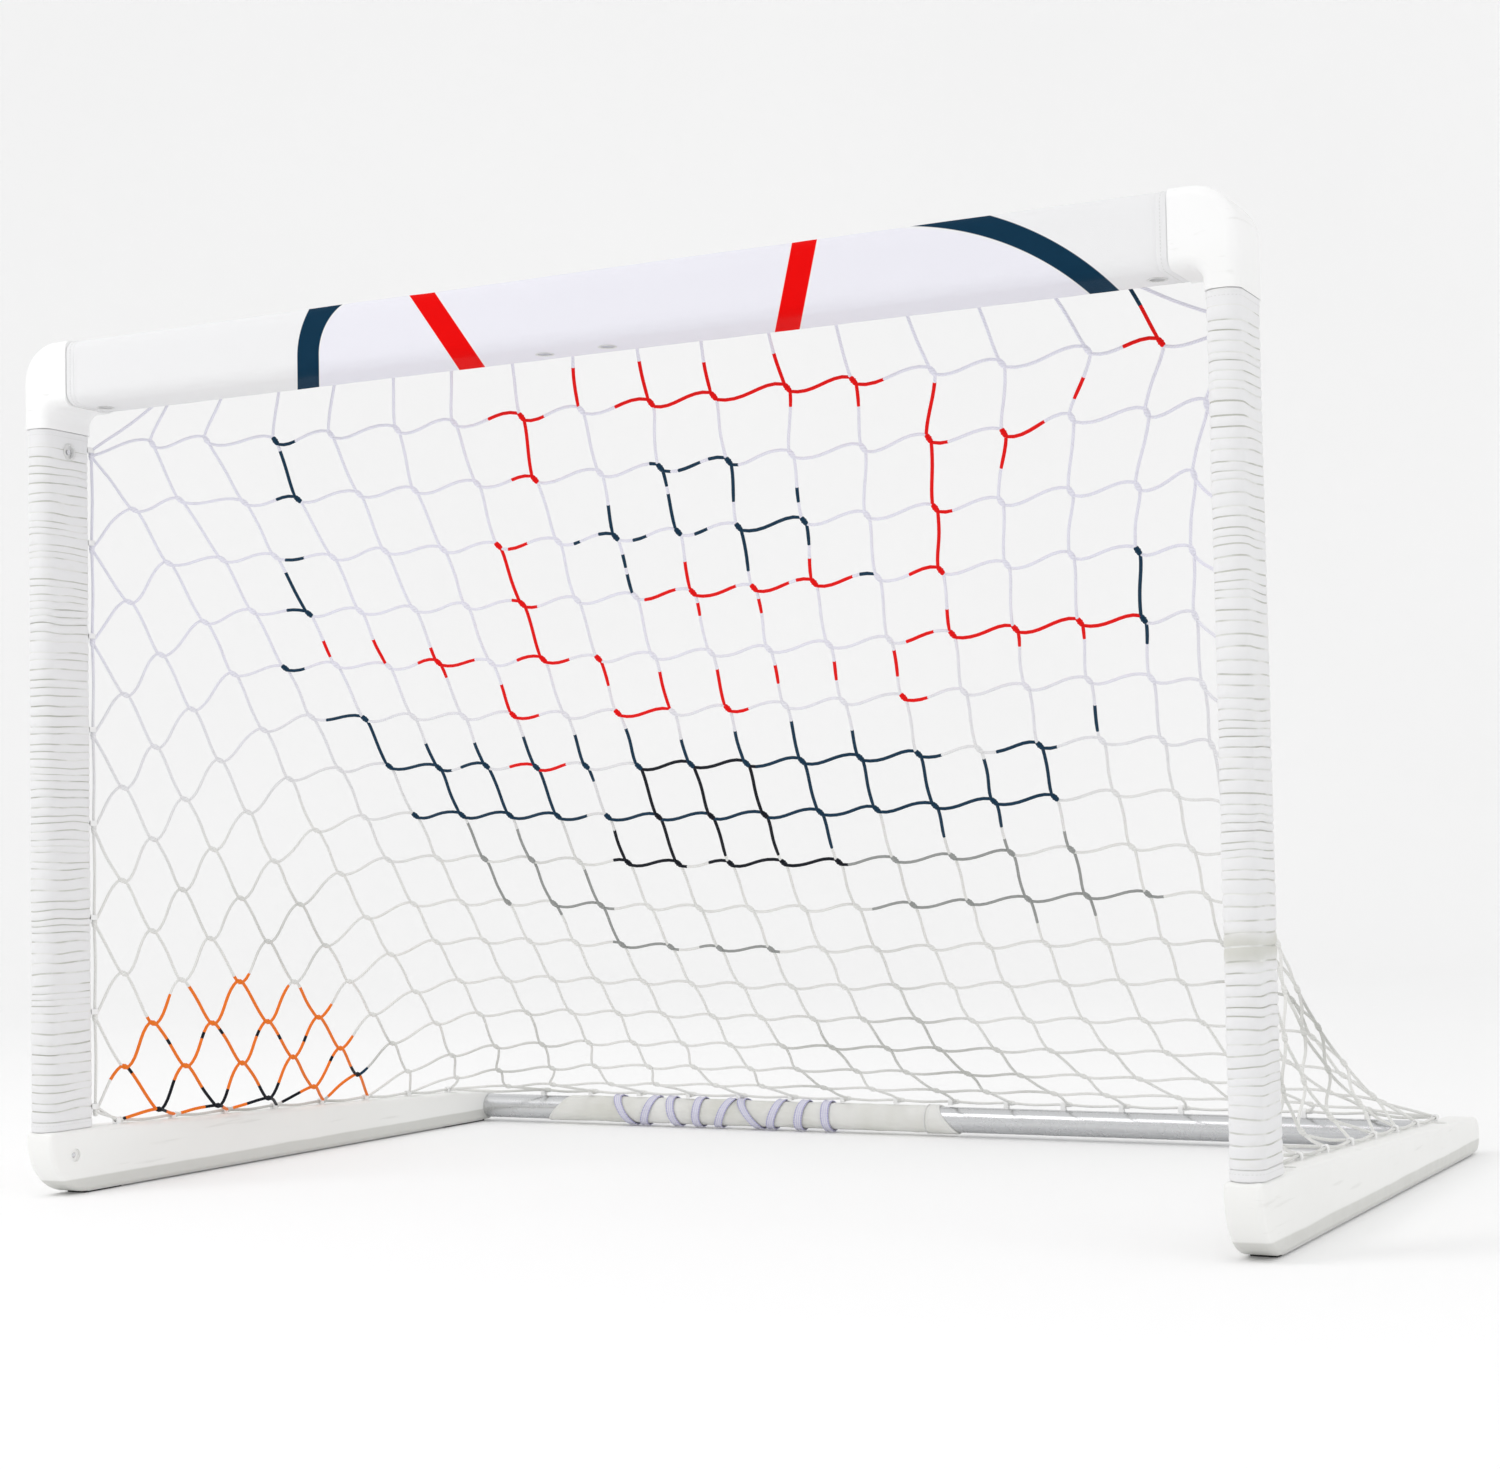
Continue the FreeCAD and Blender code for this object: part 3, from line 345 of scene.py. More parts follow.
def strap_finish():
    """Braided strap: lavender beaded edges, each bead with a painted highlight on its crest, and a paler
    crossed braid between them.
    """
    finish = Finish("strap_braid", 0.75, specular=0.3, sheen=0.4)
    run, across = finish.axis(0, finish.uv), finish.axis(1, finish.uv)
    middle = finish.math("ABSOLUTE", finish.math("SUBTRACT", across, 0.4))
    slope = finish.math("MULTIPLY", middle, 0.012)
    braid = finish.math("MULTIPLY", finish.wave(finish.sum(run, slope), BRAID_PITCH),
                        finish.wave(finish.math("SUBTRACT", run, slope), BRAID_PITCH))
    edge = finish.ramp(middle, 0.25, 0.29)
    pale = finish.mix(finish.ramp(braid, -0.2, 0.5), srgb(206, 204, 230), srgb(240, 240, 246))
    # Painted highlight: each bead is paler on its crest and deeper lavender between crests, in step with the
    # bead relief; the lavender itself is the strap's own colour.
    bead_crest_highlight = finish.ramp(finish.wave(run, BEAD_PITCH), -0.5, 0.5)
    beads = finish.mix(bead_crest_highlight, srgb(160, 157, 204), srgb(214, 212, 236))
    finish.set("Base Color", finish.mix(edge, pale, beads))
    finish.bump(braid, 0.0005, 0.7)
    finish.bump(finish.noise(1400.0, 2.0), 0.0003, 0.4)
    return finish


def moulded(name, colour, low_colour=None, roughness=0.42):
    """Moulded plastic with a fine grain, faint flow marks and light scuffs."""
    finish = Finish(name, roughness, specular=0.5)
    flow = finish.ramp(finish.noise(3.0, 2.0, (1, 0.4, 2)), 0.35, 0.75, 0.0, 0.35)
    base = finish.mix(flow, colour, srgb(233, 233, 230))
    if low_colour:
        wander = finish.math("MULTIPLY", finish.noise(9.0, 2.0), 0.004)
        base = finish.mix(finish.below(finish.sum(finish.axis(2), wander), 0.026, 0.002), base, low_colour)
    scuffs = finish.ramp(finish.noise(26.0, 6.0, (1, 0.25, 4)), 0.62, 0.72, 0.0, 0.3)
    finish.set("Base Color", finish.mix(scuffs, base, srgb(212, 212, 208)))
    gloss = finish.noise(38.0, 4.0)
    finish.set("Roughness", finish.ramp(gloss, 0.3, 0.7, roughness - 0.06, roughness + 0.12))
    finish.bump(finish.noise(1300.0, 2.0), 0.0001, 0.35)
    finish.bump(scuffs, 0.0002, 0.3)
    return finish


def metal(name, colour, shade, roughness, grain=(2.0, 700.0, 700.0), depth=0.00012, wear=0.1):
    """Bare metal with fine drawing lines; wear is how much its roughness varies."""
    finish = Finish(name, roughness, metallic=1.0)
    lines = finish.noise(1.0, 3.0, grain)
    finish.set("Base Color", finish.mix(finish.ramp(lines, 0.35, 0.7), colour, shade))
    gloss = finish.noise(60.0, 4.0)
    finish.set("Roughness", finish.ramp(gloss, 0.3, 0.75, roughness - wear / 2, roughness + wear))
    finish.bump(lines, depth, 0.4)
    return finish


def painted_steel():
    """White powder coat with its faint orange-peel skin."""
    finish = Finish("powder_coat", 0.38, specular=0.5, coat=0.2)
    finish.set("Base Color", finish.mix(finish.ramp(finish.noise(12.0), 0.4, 0.8), srgb(240, 240, 240),
                                        srgb(226, 226, 224)))
    finish.bump(finish.noise(380.0, 1.0), 0.0002, 0.35)
    return finish


def rubber():
    """Dark grip rubber with a pebbled skin."""
    finish = Finish("pad_rubber", 0.85, specular=0.3)
    finish.set("Base Color", finish.mix(finish.noise(40.0), srgb(52, 52, 54), srgb(82, 82, 80)))
    finish.bump(finish.node("TexVoronoi", {"Vector": finish.place, "Scale": 420.0}), 0.0004, 0.6)
    return finish


def cad_finishes():
    """One finish for every material slot whose CAD nodes stay in view."""
    low = srgb(214, 214, 210)
    return {
        "rail_plastic": moulded("rail_moulding", srgb(246, 246, 244), low),
        "plate_plastic": moulded("plate_moulding", srgb(206, 206, 204), roughness=0.55),
        "corner_plastic": moulded("corner_moulding", srgb(247, 247, 247)),
        "clip_plastic": moulded("clip_moulding", srgb(244, 244, 244), roughness=0.3),
        "steel_tube": painted_steel(),
        "rear_aluminium": metal("drawn_aluminium", srgb(214, 215, 216), srgb(204, 205, 207), 0.27,
                                (1, 160, 160), 0.00001, 0.01),
        "screw_steel": metal("screw_steel", srgb(196, 196, 198), srgb(150, 150, 152), 0.32, (300, 300, 300)),
        "spring_steel": metal("spring_steel", srgb(176, 178, 182), srgb(128, 130, 134), 0.35, (60, 60, 900)),
        "button_chrome": metal("button_chrome", srgb(226, 227, 230), srgb(200, 201, 204), 0.14,
                               (150, 150, 150), 0.00004),
        "pad_rubber": rubber(),
    }


# ---------------- meshes

class Shape:
    """Collects points and faces of one piece, with a material mark and UV coordinates for each face."""

    def __init__(self):
        self.points, self.faces, self.marks, self.corners = [], [], [], []

    def grid(self, rows, mark=0, around=False, along=None):
        """Join rows of points into quads. mark is one material, or a list with one for each strip."""
        first, count = len(self.points), len(rows[0])
        spans = count if around else count - 1
        along = along or [0.0] * len(rows)
        for row in rows:
            self.points.extend(row)
        for r in range(len(rows) - 1):
            near, far = first + r * count, first + (r + 1) * count
            for c in range(spans):
                d = (c + 1) % count
                self.faces.append((near + c, near + d, far + d, far + c))
                self.marks.append(mark[r] if isinstance(mark, list) else mark)
                v0, v1 = c / spans, (c + 1) / spans
                self.corners += [(along[r], v0), (along[r], v1), (along[r + 1], v1), (along[r + 1], v0)]
        return first

    def lid(self, first, count, mark=0):
        """Close a ring of points that are already in the shape."""
        self.faces.append(tuple(range(first, first + count)))
        self.marks.append(mark)
        self.corners += [(0.0, 0.0)] * count

    def tube(self, path, radii, sides, mark=0, start_run=0.0):
        """A closed round tube along a path; radii is one radius or one for each point."""
        if not isinstance(radii, list):
            radii = [radii] * len(path)
        side = None
        rows, runs, run = [], [], start_run
        for k, point in enumerate(path):
            ahead = path[min(k + 1, len(path) - 1)] - path[max(k - 1, 0)]
            ahead = ahead.normalized()
            if side is None:
                side = ahead.orthogonal()
            side = (side - ahead * side.dot(ahead)).normalized()
            up = ahead.cross(side)
            if k:
                run += (point - path[k - 1]).length
            runs.append(run)
            rows.append([point + (side * cos(2 * pi * s / sides) + up * sin(2 * pi * s / sides)) * radii[k]
                         for s in range(sides)])
        first = self.grid(rows, mark, True, runs)
        ends = mark if isinstance(mark, list) else [mark]
        self.lid(first, sides, ends[0])
        self.lid(first + (len(path) - 1) * sides, sides, ends[-1])

    def stitches(self, path, outward, mark, pitch=0.0046):
        """A row of short raised stitches along a path, standing out of a surface."""
        run, left = 0.0, pitch / 2
        for start, end in zip(path, path[1:]):
            step = end - start
            length = step.length
            while run + left <= length:
                run += left
                left = pitch
                middle = start + step * (run / length)
                half = step.normalized() * (pitch * 0.34)
                across = outward.cross(half).normalized() * 0.00045
                rise = outward * 0.00055
                rows = [[middle + half * t + across * w * c + rise * (w * s)
                         for c, s in ((1, -0.5), (0.7, 0.8), (-0.7, 0.8), (-1, -0.5))]
                        for t, w in ((-1.0, 0.35), (-0.5, 1.0), (0.5, 1.0), (1.0, 0.35))]
                first = self.grid(rows, mark, True)
                self.lid(first, 4, mark)
                self.lid(first + 12, 4, mark)
            left -= length - run
            run = 0.0

    def mesh(self, name, finishes):
        """A Blender mesh of everything collected so far."""
        mesh = bpy.data.meshes.new(name)
        mesh.from_pydata(self.points, [], self.faces)
        mesh.polygons.foreach_set("material_index", self.marks)
        layer = mesh.uv_layers.new(name="UVMap")
        layer.data.foreach_set("uv", [value for corner in self.corners for value in corner])
        for finish in finishes:
            mesh.materials.append(finish.material)
        return tidy_mesh(mesh)


def tidy_mesh(mesh):
    """Weld, turn every face outwards and shade smoothly between the sharp edges."""
    work = bmesh.new()
    work.from_mesh(mesh)
    bmesh.ops.remove_doubles(work, verts=work.verts, dist=1e-6)
    bmesh.ops.recalc_face_normals(work, faces=work.faces)
    work.to_mesh(mesh)
    work.free()
    mesh.shade_smooth()
    mesh.set_sharp_from_angle(angle=SHARP)
    return mesh


def sew_round(shape, ring, outward, pitch):
    """Stitches round a closed ring of points; outward holds the direction that each span faces."""
    for k, out in enumerate(outward):
        shape.stitches([ring[k], ring[(k + 1) % len(ring)]], out, 1, pitch)


def drilled(mesh, holes):
    """Cut round holes, each (start, end, radius), through a closed mesh."""
    cutter = Shape()
    for start, end, radius in holes:
        cutter.tube([start, start.lerp(end, 0.5), end], radius, 40)
    body = bpy.data.objects.new("drilled_body", mesh)
    tool = bpy.data.objects.new("drilling_tool", cutter.mesh("drilling_tool", []))
    for thing in (body, tool):
        bpy.context.scene.collection.objects.link(thing)
    cut = body.modifiers.new("holes", "BOOLEAN")
    cut.operation = "DIFFERENCE"
    cut.solver = "EXACT"
    cut.object = tool
    shapes = bpy.context.evaluated_depsgraph_get()
    result = bpy.data.meshes.new_from_object(body.evaluated_get(shapes))
    for thing in (body, tool):
        bpy.data.objects.remove(thing)
    return tidy_mesh(result)


def joined(first, second):
    """Two meshes with the same materials as one."""
    work = bmesh.new()
    work.from_mesh(first)
    work.from_mesh(second)
    work.to_mesh(first)
    work.free()
    first.shade_smooth()
    first.set_sharp_from_angle(angle=SHARP)
    return first


def piece(name, mesh, slot, *replaced):
    """Put a finished mesh on the frame as one named piece."""
    made = bpy.data.objects.new(name, mesh)
    bpy.context.scene.collection.objects.link(made)
    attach(made, "frame")
    if replaced:
        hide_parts(*replaced)
    return made


def button_spot(node):
    """The middle of a snap button."""
    low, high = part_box(node)
    return (low + high) / 2


def rounded_outline(half_wide, half_deep, radius, turn_steps=6, pitch=0.008):
    """A rounded rectangle as (place, outward direction) pairs in its own plane."""
    outline = []
    corners = ((1, 1, 0), (-1, 1, 1), (-1, -1, 2), (1, -1, 3))
    for k, (a, b, quarter) in enumerate(corners):
        centre = (a * (half_wide - radius), b * (half_deep - radius))
        for step in range(turn_steps + 1):
            angle = (quarter + step / turn_steps) * pi / 2
            out = (cos(angle), sin(angle))
            outline.append(((centre[0] + radius * out[0], centre[1] + radius * out[1]), out))
        straight = 2 * ((half_wide if k % 2 == 0 else half_deep) - radius)
        count = max(int(straight / pitch), 1)
        start = outline[-1][0]
        along = (-out[1], out[0])
        for step in range(1, count):
            share = straight * step / count
            outline.append(((start[0] + along[0] * share, start[1] + along[1] * share), out))
    return outline


def sleeve_rows(outline, centre, levels, axes, bore):
    """Rows of a hollow sleeve: the bore at one end, the outside level by level, the bore at the other end.

    levels holds (position, function of the outline's place giving the inward offset and the shift along
    the sleeve). axes names the outline's two axes and the sleeve's own axis."""
    across, deep, long = axes

    def point(a, b, position):
        spot = Vector((0.0, 0.0, 0.0))
        spot[across], spot[deep], spot[long] = centre[0] + a, centre[1] + b, position
        return spot

    def bore_row(position):
        row = []
        for (a, b), _ in outline:
            angle = atan2(b, a)
            row.append(point(bore * cos(angle), bore * sin(angle), position))
        return row

    rows = [bore_row(levels[0][0])]
    for position, offset in levels:
        row = []
        for (a, b), (out_a, out_b) in outline:
            inward, shift = offset(a, b, position)
            row.append(point(a - out_a * inward, b - out_b * inward, position + shift))
        rows.append(row)
    rows.append(bore_row(levels[-1][0]))
    rows.append(rows[0])
    return rows


# ---------------- post and crossbar sleeves

def rib_levels(low, high, seed):
    """Levels up a ribbed sleeve: (height, how deeply that level is pinched in, whether it is a seam)."""
    chance = random.Random(seed)
    levels = [(low, 0.0016, False), (low + 0.0016, 0.0, False), (low + HEM - 0.001, 0.0004, False)]
    height = low + HEM
    while height + 1.5 * RIB_PITCH < high - HEM:
        pitch = RIB_PITCH * chance.uniform(0.7, 1.35)
        depth = chance.uniform(0.0014, 0.0028)
        for share in RIB_STEPS:
            pinch = depth * (1 - sin(pi * share) ** 0.5)
            levels.append((height + share * pitch, pinch, share in (RIB_STEPS[0], RIB_STEPS[-1])))
        height += pitch
    levels += [(height, 0.0016, False), (high - 0.0016, 0.0, False), (high, 0.0016, False)]
    return levels


def make_post_sleeve(side, finishes):
    """Ribbed foam sleeve of one post, with hems, stitching and a bound window over the snap button."""
    low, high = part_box(side + "_post_sleeve")
    centre = ((low.x + high.x) / 2, (low.y + high.y) / 2)
    half_wide, half_deep = (high.x - low.x) / 2, (high.y - low.y) / 2
    outline = rounded_outline(half_wide, half_deep, SLEEVE_CORNER)
    chance = Vector((7.3 if side == "left" else 2.1, 0, 0))

    def level(height, pinch):
        edge = min(height - low.z, high.z - height)
        free = min(max((edge - HEM) / 0.02, 0.0), 1.0)

        def offset(a, b, position):
            spot = Vector((a * 14, b * 14, position * 22)) + chance
            uneven = 0.65 + 0.7 * noise.noise(spot)
            swell = 0.0007 * (1 + noise.noise(spot * 0.35)) * free
            shift = RIB_WAVE * noise.noise(Vector((a * 18, b * 18, position * 19)) + chance * 2) * free
            return pinch * (uneven if free else 1.0) + swell, shift
        return height, offset

    ribs = rib_levels(low.z, high.z, side)
    levels = [level(height, pinch) for height, pinch, _ in ribs]
    seams = [0] + [SEAM_MARK if seam else 0 for _, _, seam in ribs] + [0]
    shape = Shape()
    shape.grid(sleeve_rows(outline, centre, levels, (0, 1, 2), TUBE_RADIUS), seams, True)
    body = shape.mesh(side + "_post_sleeve_soft", finishes)
    inner_x = high.x if side == "left" else low.x
    inward = Vector((1.0 if side == "left" else -1.0, 0, 0))
    button = button_spot(side + "_post_top_button")
    button.x = inner_x
    body = drilled(body, [(button - inward * half_wide, button + inward * HEM, WINDOW_RADIUS)])
    trim = Shape()
    bind_window(trim, button - inward * 0.0006, inward)
    for height in (low.z + HEM_STITCH, high.z - HEM_STITCH):
        ring = [Vector((centre[0] + a - p * 0.0004, centre[1] + b - q * 0.0004, height))
                for (a, b), (p, q) in outline]
        sew_round(trim, ring, [Vector((p, q, 0)) for _, (p, q) in outline], HEM_PITCH)
    made = piece(side + "_post_sleeve_soft", joined(body, trim.mesh("trim", finishes)), "sleeve_white",
                 side + "_post_sleeve")


def bind_window(shape, centre, outward):
    """A bound edge round a button window, with its ring of stitches."""
    side = outward.orthogonal().normalized()
    up = outward.cross(side)
    ring = [side * cos(2 * pi * k / 36) + up * sin(2 * pi * k / 36) for k in range(37)]
    shape.tube([centre + d * (WINDOW_RADIUS + 0.0009) for d in ring], 0.0011, 8, 1)
    sewn = [centre + d * (WINDOW_RADIUS + 0.0030) + outward * 0.0006 for d in ring]
    shape.stitches(sewn, outward, 1, 0.0032)


def make_crossbar_sleeve(finishes):
    """Printed foam sleeve of the crossbar, with a hook-and-loop seam along its back."""
    low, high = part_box("crossbar_sleeve")
    centre = ((low.y + high.y) / 2, (low.z + high.z) / 2)
    half_deep, half_high = (high.y - low.y) / 2, (high.z - low.z) / 2
    outline = rounded_outline(half_deep, half_high, SLEEVE_CORNER)

    def level(position, pinch):
        def offset(a, b, place):
            spot = Vector((place * 6, a * 12, b * 12))
            swell = 0.0006 * (1 + noise.noise(spot)) + 0.0004 * (1 + noise.noise(spot * 4))
            return pinch + swell, 0.0
        return position, offset

    span = high.x - low.x
    levels = [level(low.x, 0.0018), level(low.x + 0.002, 0.0), level(low.x + HEM, 0.0),
              level(low.x + HEM + 0.001, 0.0010)]
    levels += [level(low.x + HEM + 0.004 + (span - 2 * HEM - 0.008) * k / BAR_SPANS, 0.0)
               for k in range(BAR_SPANS + 1)]
    levels += [level(high.x - HEM - 0.001, 0.0010), level(high.x - HEM, 0.0), level(high.x - 0.002, 0.0),
               level(high.x, 0.0018)]
    shape = Shape()
    shape.grid(sleeve_rows(outline, centre, levels, (1, 2, 0), TUBE_RADIUS), 0, True)
    body = shape.mesh("crossbar_sleeve_soft", finishes)
    windows = []
    for node in ("left_crossbar_end_button", "left_crossbar_middle_button",
                 "right_crossbar_middle_button", "right_crossbar_end_button"):
        windows.append(Vector((button_spot(node).x, centre[0], low.z)))
    down = Vector((0, 0, -1.0))
    body = drilled(body, [(w - down * half_high, w + down * HEM, WINDOW_RADIUS) for w in windows])
    trim = Shape()
    for window in windows:
        bind_window(trim, window - down * 0.0008, down)
    back, middle = high.y - 0.0004, centre[1] + FLAP_RISE
    profile = ((-FLAP_HALF, -0.0006), (-FLAP_HALF, 0.0006), (-FLAP_HALF + 0.001, 0.0012), (0.0, 0.0014),
               (FLAP_HALF - 0.001, 0.0012), (FLAP_HALF, 0.0006), (FLAP_HALF, -0.0006))
    rows = []
    for k in range(SEAM_SPANS + 1):
        x = low.x + HEM + (span - 2 * HEM) * k / SEAM_SPANS
        sway = 0.0008 * noise.noise(Vector((x * 9, 0, 0)))
        rows.append([Vector((x, back + rise, middle + sway + z)) for z, rise in profile])
    trim.grid(rows, 0, True)
    for z in (-FLAP_HALF + 0.002, FLAP_HALF - 0.002):
        line = [Vector((row[0].x, back + 0.0013, middle + z)) for row in rows]
        trim.stitches(line, Vector((0, 1, 0)), 1)
    for x in (low.x + HEM_STITCH, high.x - HEM_STITCH):
        ring = [Vector((x, centre[0] + a - p * 0.0008, centre[1] + b - q * 0.0008))
                for (a, b), (p, q) in outline]
        sew_round(trim, ring, [Vector((0, p, q)) for _, (p, q) in outline], HEM_PITCH)
    made = piece("crossbar_sleeve_soft", joined(body, trim.mesh("trim", finishes)), "sleeve_print",
                 "crossbar_sleeve")


# ---------------- back tube: wrap and straps

def make_wrap(finishes):
    """Padded wrap on the back tube, cut slanted at both ends, with a sewn hem on the right."""
    low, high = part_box("rear_wrap")
    centre = ((low.y + high.y) / 2, (low.z + high.z) / 2)
    radius, bore = (high.z - low.z) / 2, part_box("left_rear_tube")[1].z - centre[1] + 0.0003

    def ring_at(x, reach, count=WRAP_SIDES):
        turns = [2 * pi * k / WRAP_SIDES for k in range(count)]
        return [Vector((x, centre[0] + reach * cos(a), centre[1] + reach * sin(a))) for a in turns]

    def row(share, outer):
        points = []
        for k in range(WRAP_SIDES):
            angle = 2 * pi * k / WRAP_SIDES
            lift = (1 + sin(angle)) / 2
            start = low.x + WRAP_SLANT_LEFT * lift
            end = high.x - WRAP_SLANT_RIGHT * lift
            x = start + (end - start) * share
            spot = Vector((x * 16, cos(angle) * 1.2, sin(angle) * 1.2))
            fold = 0.0011 * noise.noise(spot) + 0.0007 * noise.noise(spot * 3.1 + Vector((3, 1, 2)))
            reach = bore
            if outer:
                hem = min(max((x - WRAP_HEM_X) / 0.004, 0.0), 1.0)
                reach = radius - 0.0022 + fold * (1 - hem) + 0.0018 * hem
            if outer and (share < 0.001 or share > 0.999):
                reach -= 0.0012
            points.append(Vector((x, centre[0] + reach * cos(angle), centre[1] + reach * sin(angle))))
        return points

    inner_shares = [0.003 + 0.994 * k / WRAP_SPANS for k in range(WRAP_SPANS + 1)]
    shares = [0.0, 0.0012] + inner_shares + [0.9988, 1.0]
    rows = [row(0.0, False)] + [row(share, True) for share in shares] + [row(1.0, False)]
    rows.append(rows[0])
    shape = Shape()
    shape.grid(rows, 0, True)
    window = Vector((button_spot("left_rear_middle_button").x, high.y, centre[1]))
    back = Vector((0, 1.0, 0))
    body = drilled(shape.mesh("rear_wrap_soft", finishes),
                   [(window - back * radius, window + back * HEM, WINDOW_RADIUS)])
    trim = Shape()
    bind_window(trim, window - back * 0.0016, back)
    rings = [row(share, True) for share in (0.994, 0.006)]
    rings.append(ring_at(WRAP_HEM_X + 0.007, radius - 0.0004))
    trim.tube(ring_at(WRAP_HEM_X, radius - 0.0012, WRAP_SIDES + 1), 0.0011, 8, 1)
    turns = [2 * pi * (k + 0.5) / WRAP_SIDES for k in range(WRAP_SIDES)]
    for ring in rings:
        sew_round(trim, ring, [Vector((0, cos(a), sin(a))) for a in turns], 0.0026)
    made = piece("rear_wrap_soft", joined(body, trim.mesh("trim", finishes)), "wrap_cream", "rear_wrap")


def make_straps(finish):
    """Braided straps wound round the wrap, each tilted its own way."""
    low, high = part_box("wrap_straps")
    centre = ((low.y + high.y) / 2, (low.z + high.z) / 2)
    outer = (high.z - low.z) / 2
    inner = outer - STRAP_DEPTH
    first = low.x + STRAP_WIDTH / 2
    pitch = (high.x - low.x - STRAP_WIDTH) / (len(STRAP_TILTS) - 1)
    sides, across = 168, 12
    shape = Shape()
    for k, tilt in enumerate(STRAP_TILTS):
        rows, runs = [], []
        for s in range(sides + 1):
            angle = 2 * pi * s / sides
            run = outer * angle
            x = first + k * pitch + tan(radians(tilt)) * outer * sin(angle)
            x += 0.0012 * noise.noise(Vector((cos(angle), sin(angle), k * 3.7)))
            row = []
            for c in range(across + 1):
                place = c / across - 0.5
                reach = outer - 0.0014
                if abs(place) > STRAP_EDGE:
                    reach += 0.0008 * (1 + sin(2 * pi * run / BEAD_PITCH))
                else:
                    reach += 0.0004 * abs(sin(pi * (run / BRAID_PITCH + 2.2 * abs(place))))
                if c in (0, across):
                    reach = outer - 0.0016
                row.append((place * STRAP_WIDTH, reach))
            row += [(STRAP_WIDTH / 2, inner), (-STRAP_WIDTH / 2, inner)]
            turn = (cos(angle), sin(angle))
            rows.append([Vector((x + a, centre[0] + r * turn[0], centre[1] + r * turn[1])) for a, r in row])
            runs.append(run)
        shape.grid(rows, 0, True, runs)
    piece("wrap_straps_braided", shape.mesh("wrap_straps_braided", [finish]), "strap_lavender", "wrap_straps")


# ---------------- net

def eyes(node, order, rise):
    """Centres of the separate eyelets in a clip node, in order along one axis. rise is the axis that they
    stand up along."""
    points = np.array([v.co for v in frame["nodes"][node].data.vertices])
    points = points[np.argsort(points[:, order])]
    breaks = np.where(np.diff(points[:, order]) > EYE_GAP)[0] + 1
    centres = []
    for group in np.split(points, breaks):
        centre = (group.min(axis=0) + group.max(axis=0)) / 2
        centre[rise] = group[:, rise].max() - EYE_RADIUS
        centres.append(centre)
    return centres


def one_side(node, order, rise, side):
    """The eyelets on one side of the goal, -1 for left and 1 for right, of a node that has both."""
    points = np.array([v.co for v in frame["nodes"][node].data.vertices])
    right = points[points[:, 0] > 0]
    x = side * (right[:, 0].min() + right[:, 0].max()) / 2
    return [np.array([x, p[1], p[2]]) for p in eyes(node, order, rise)]


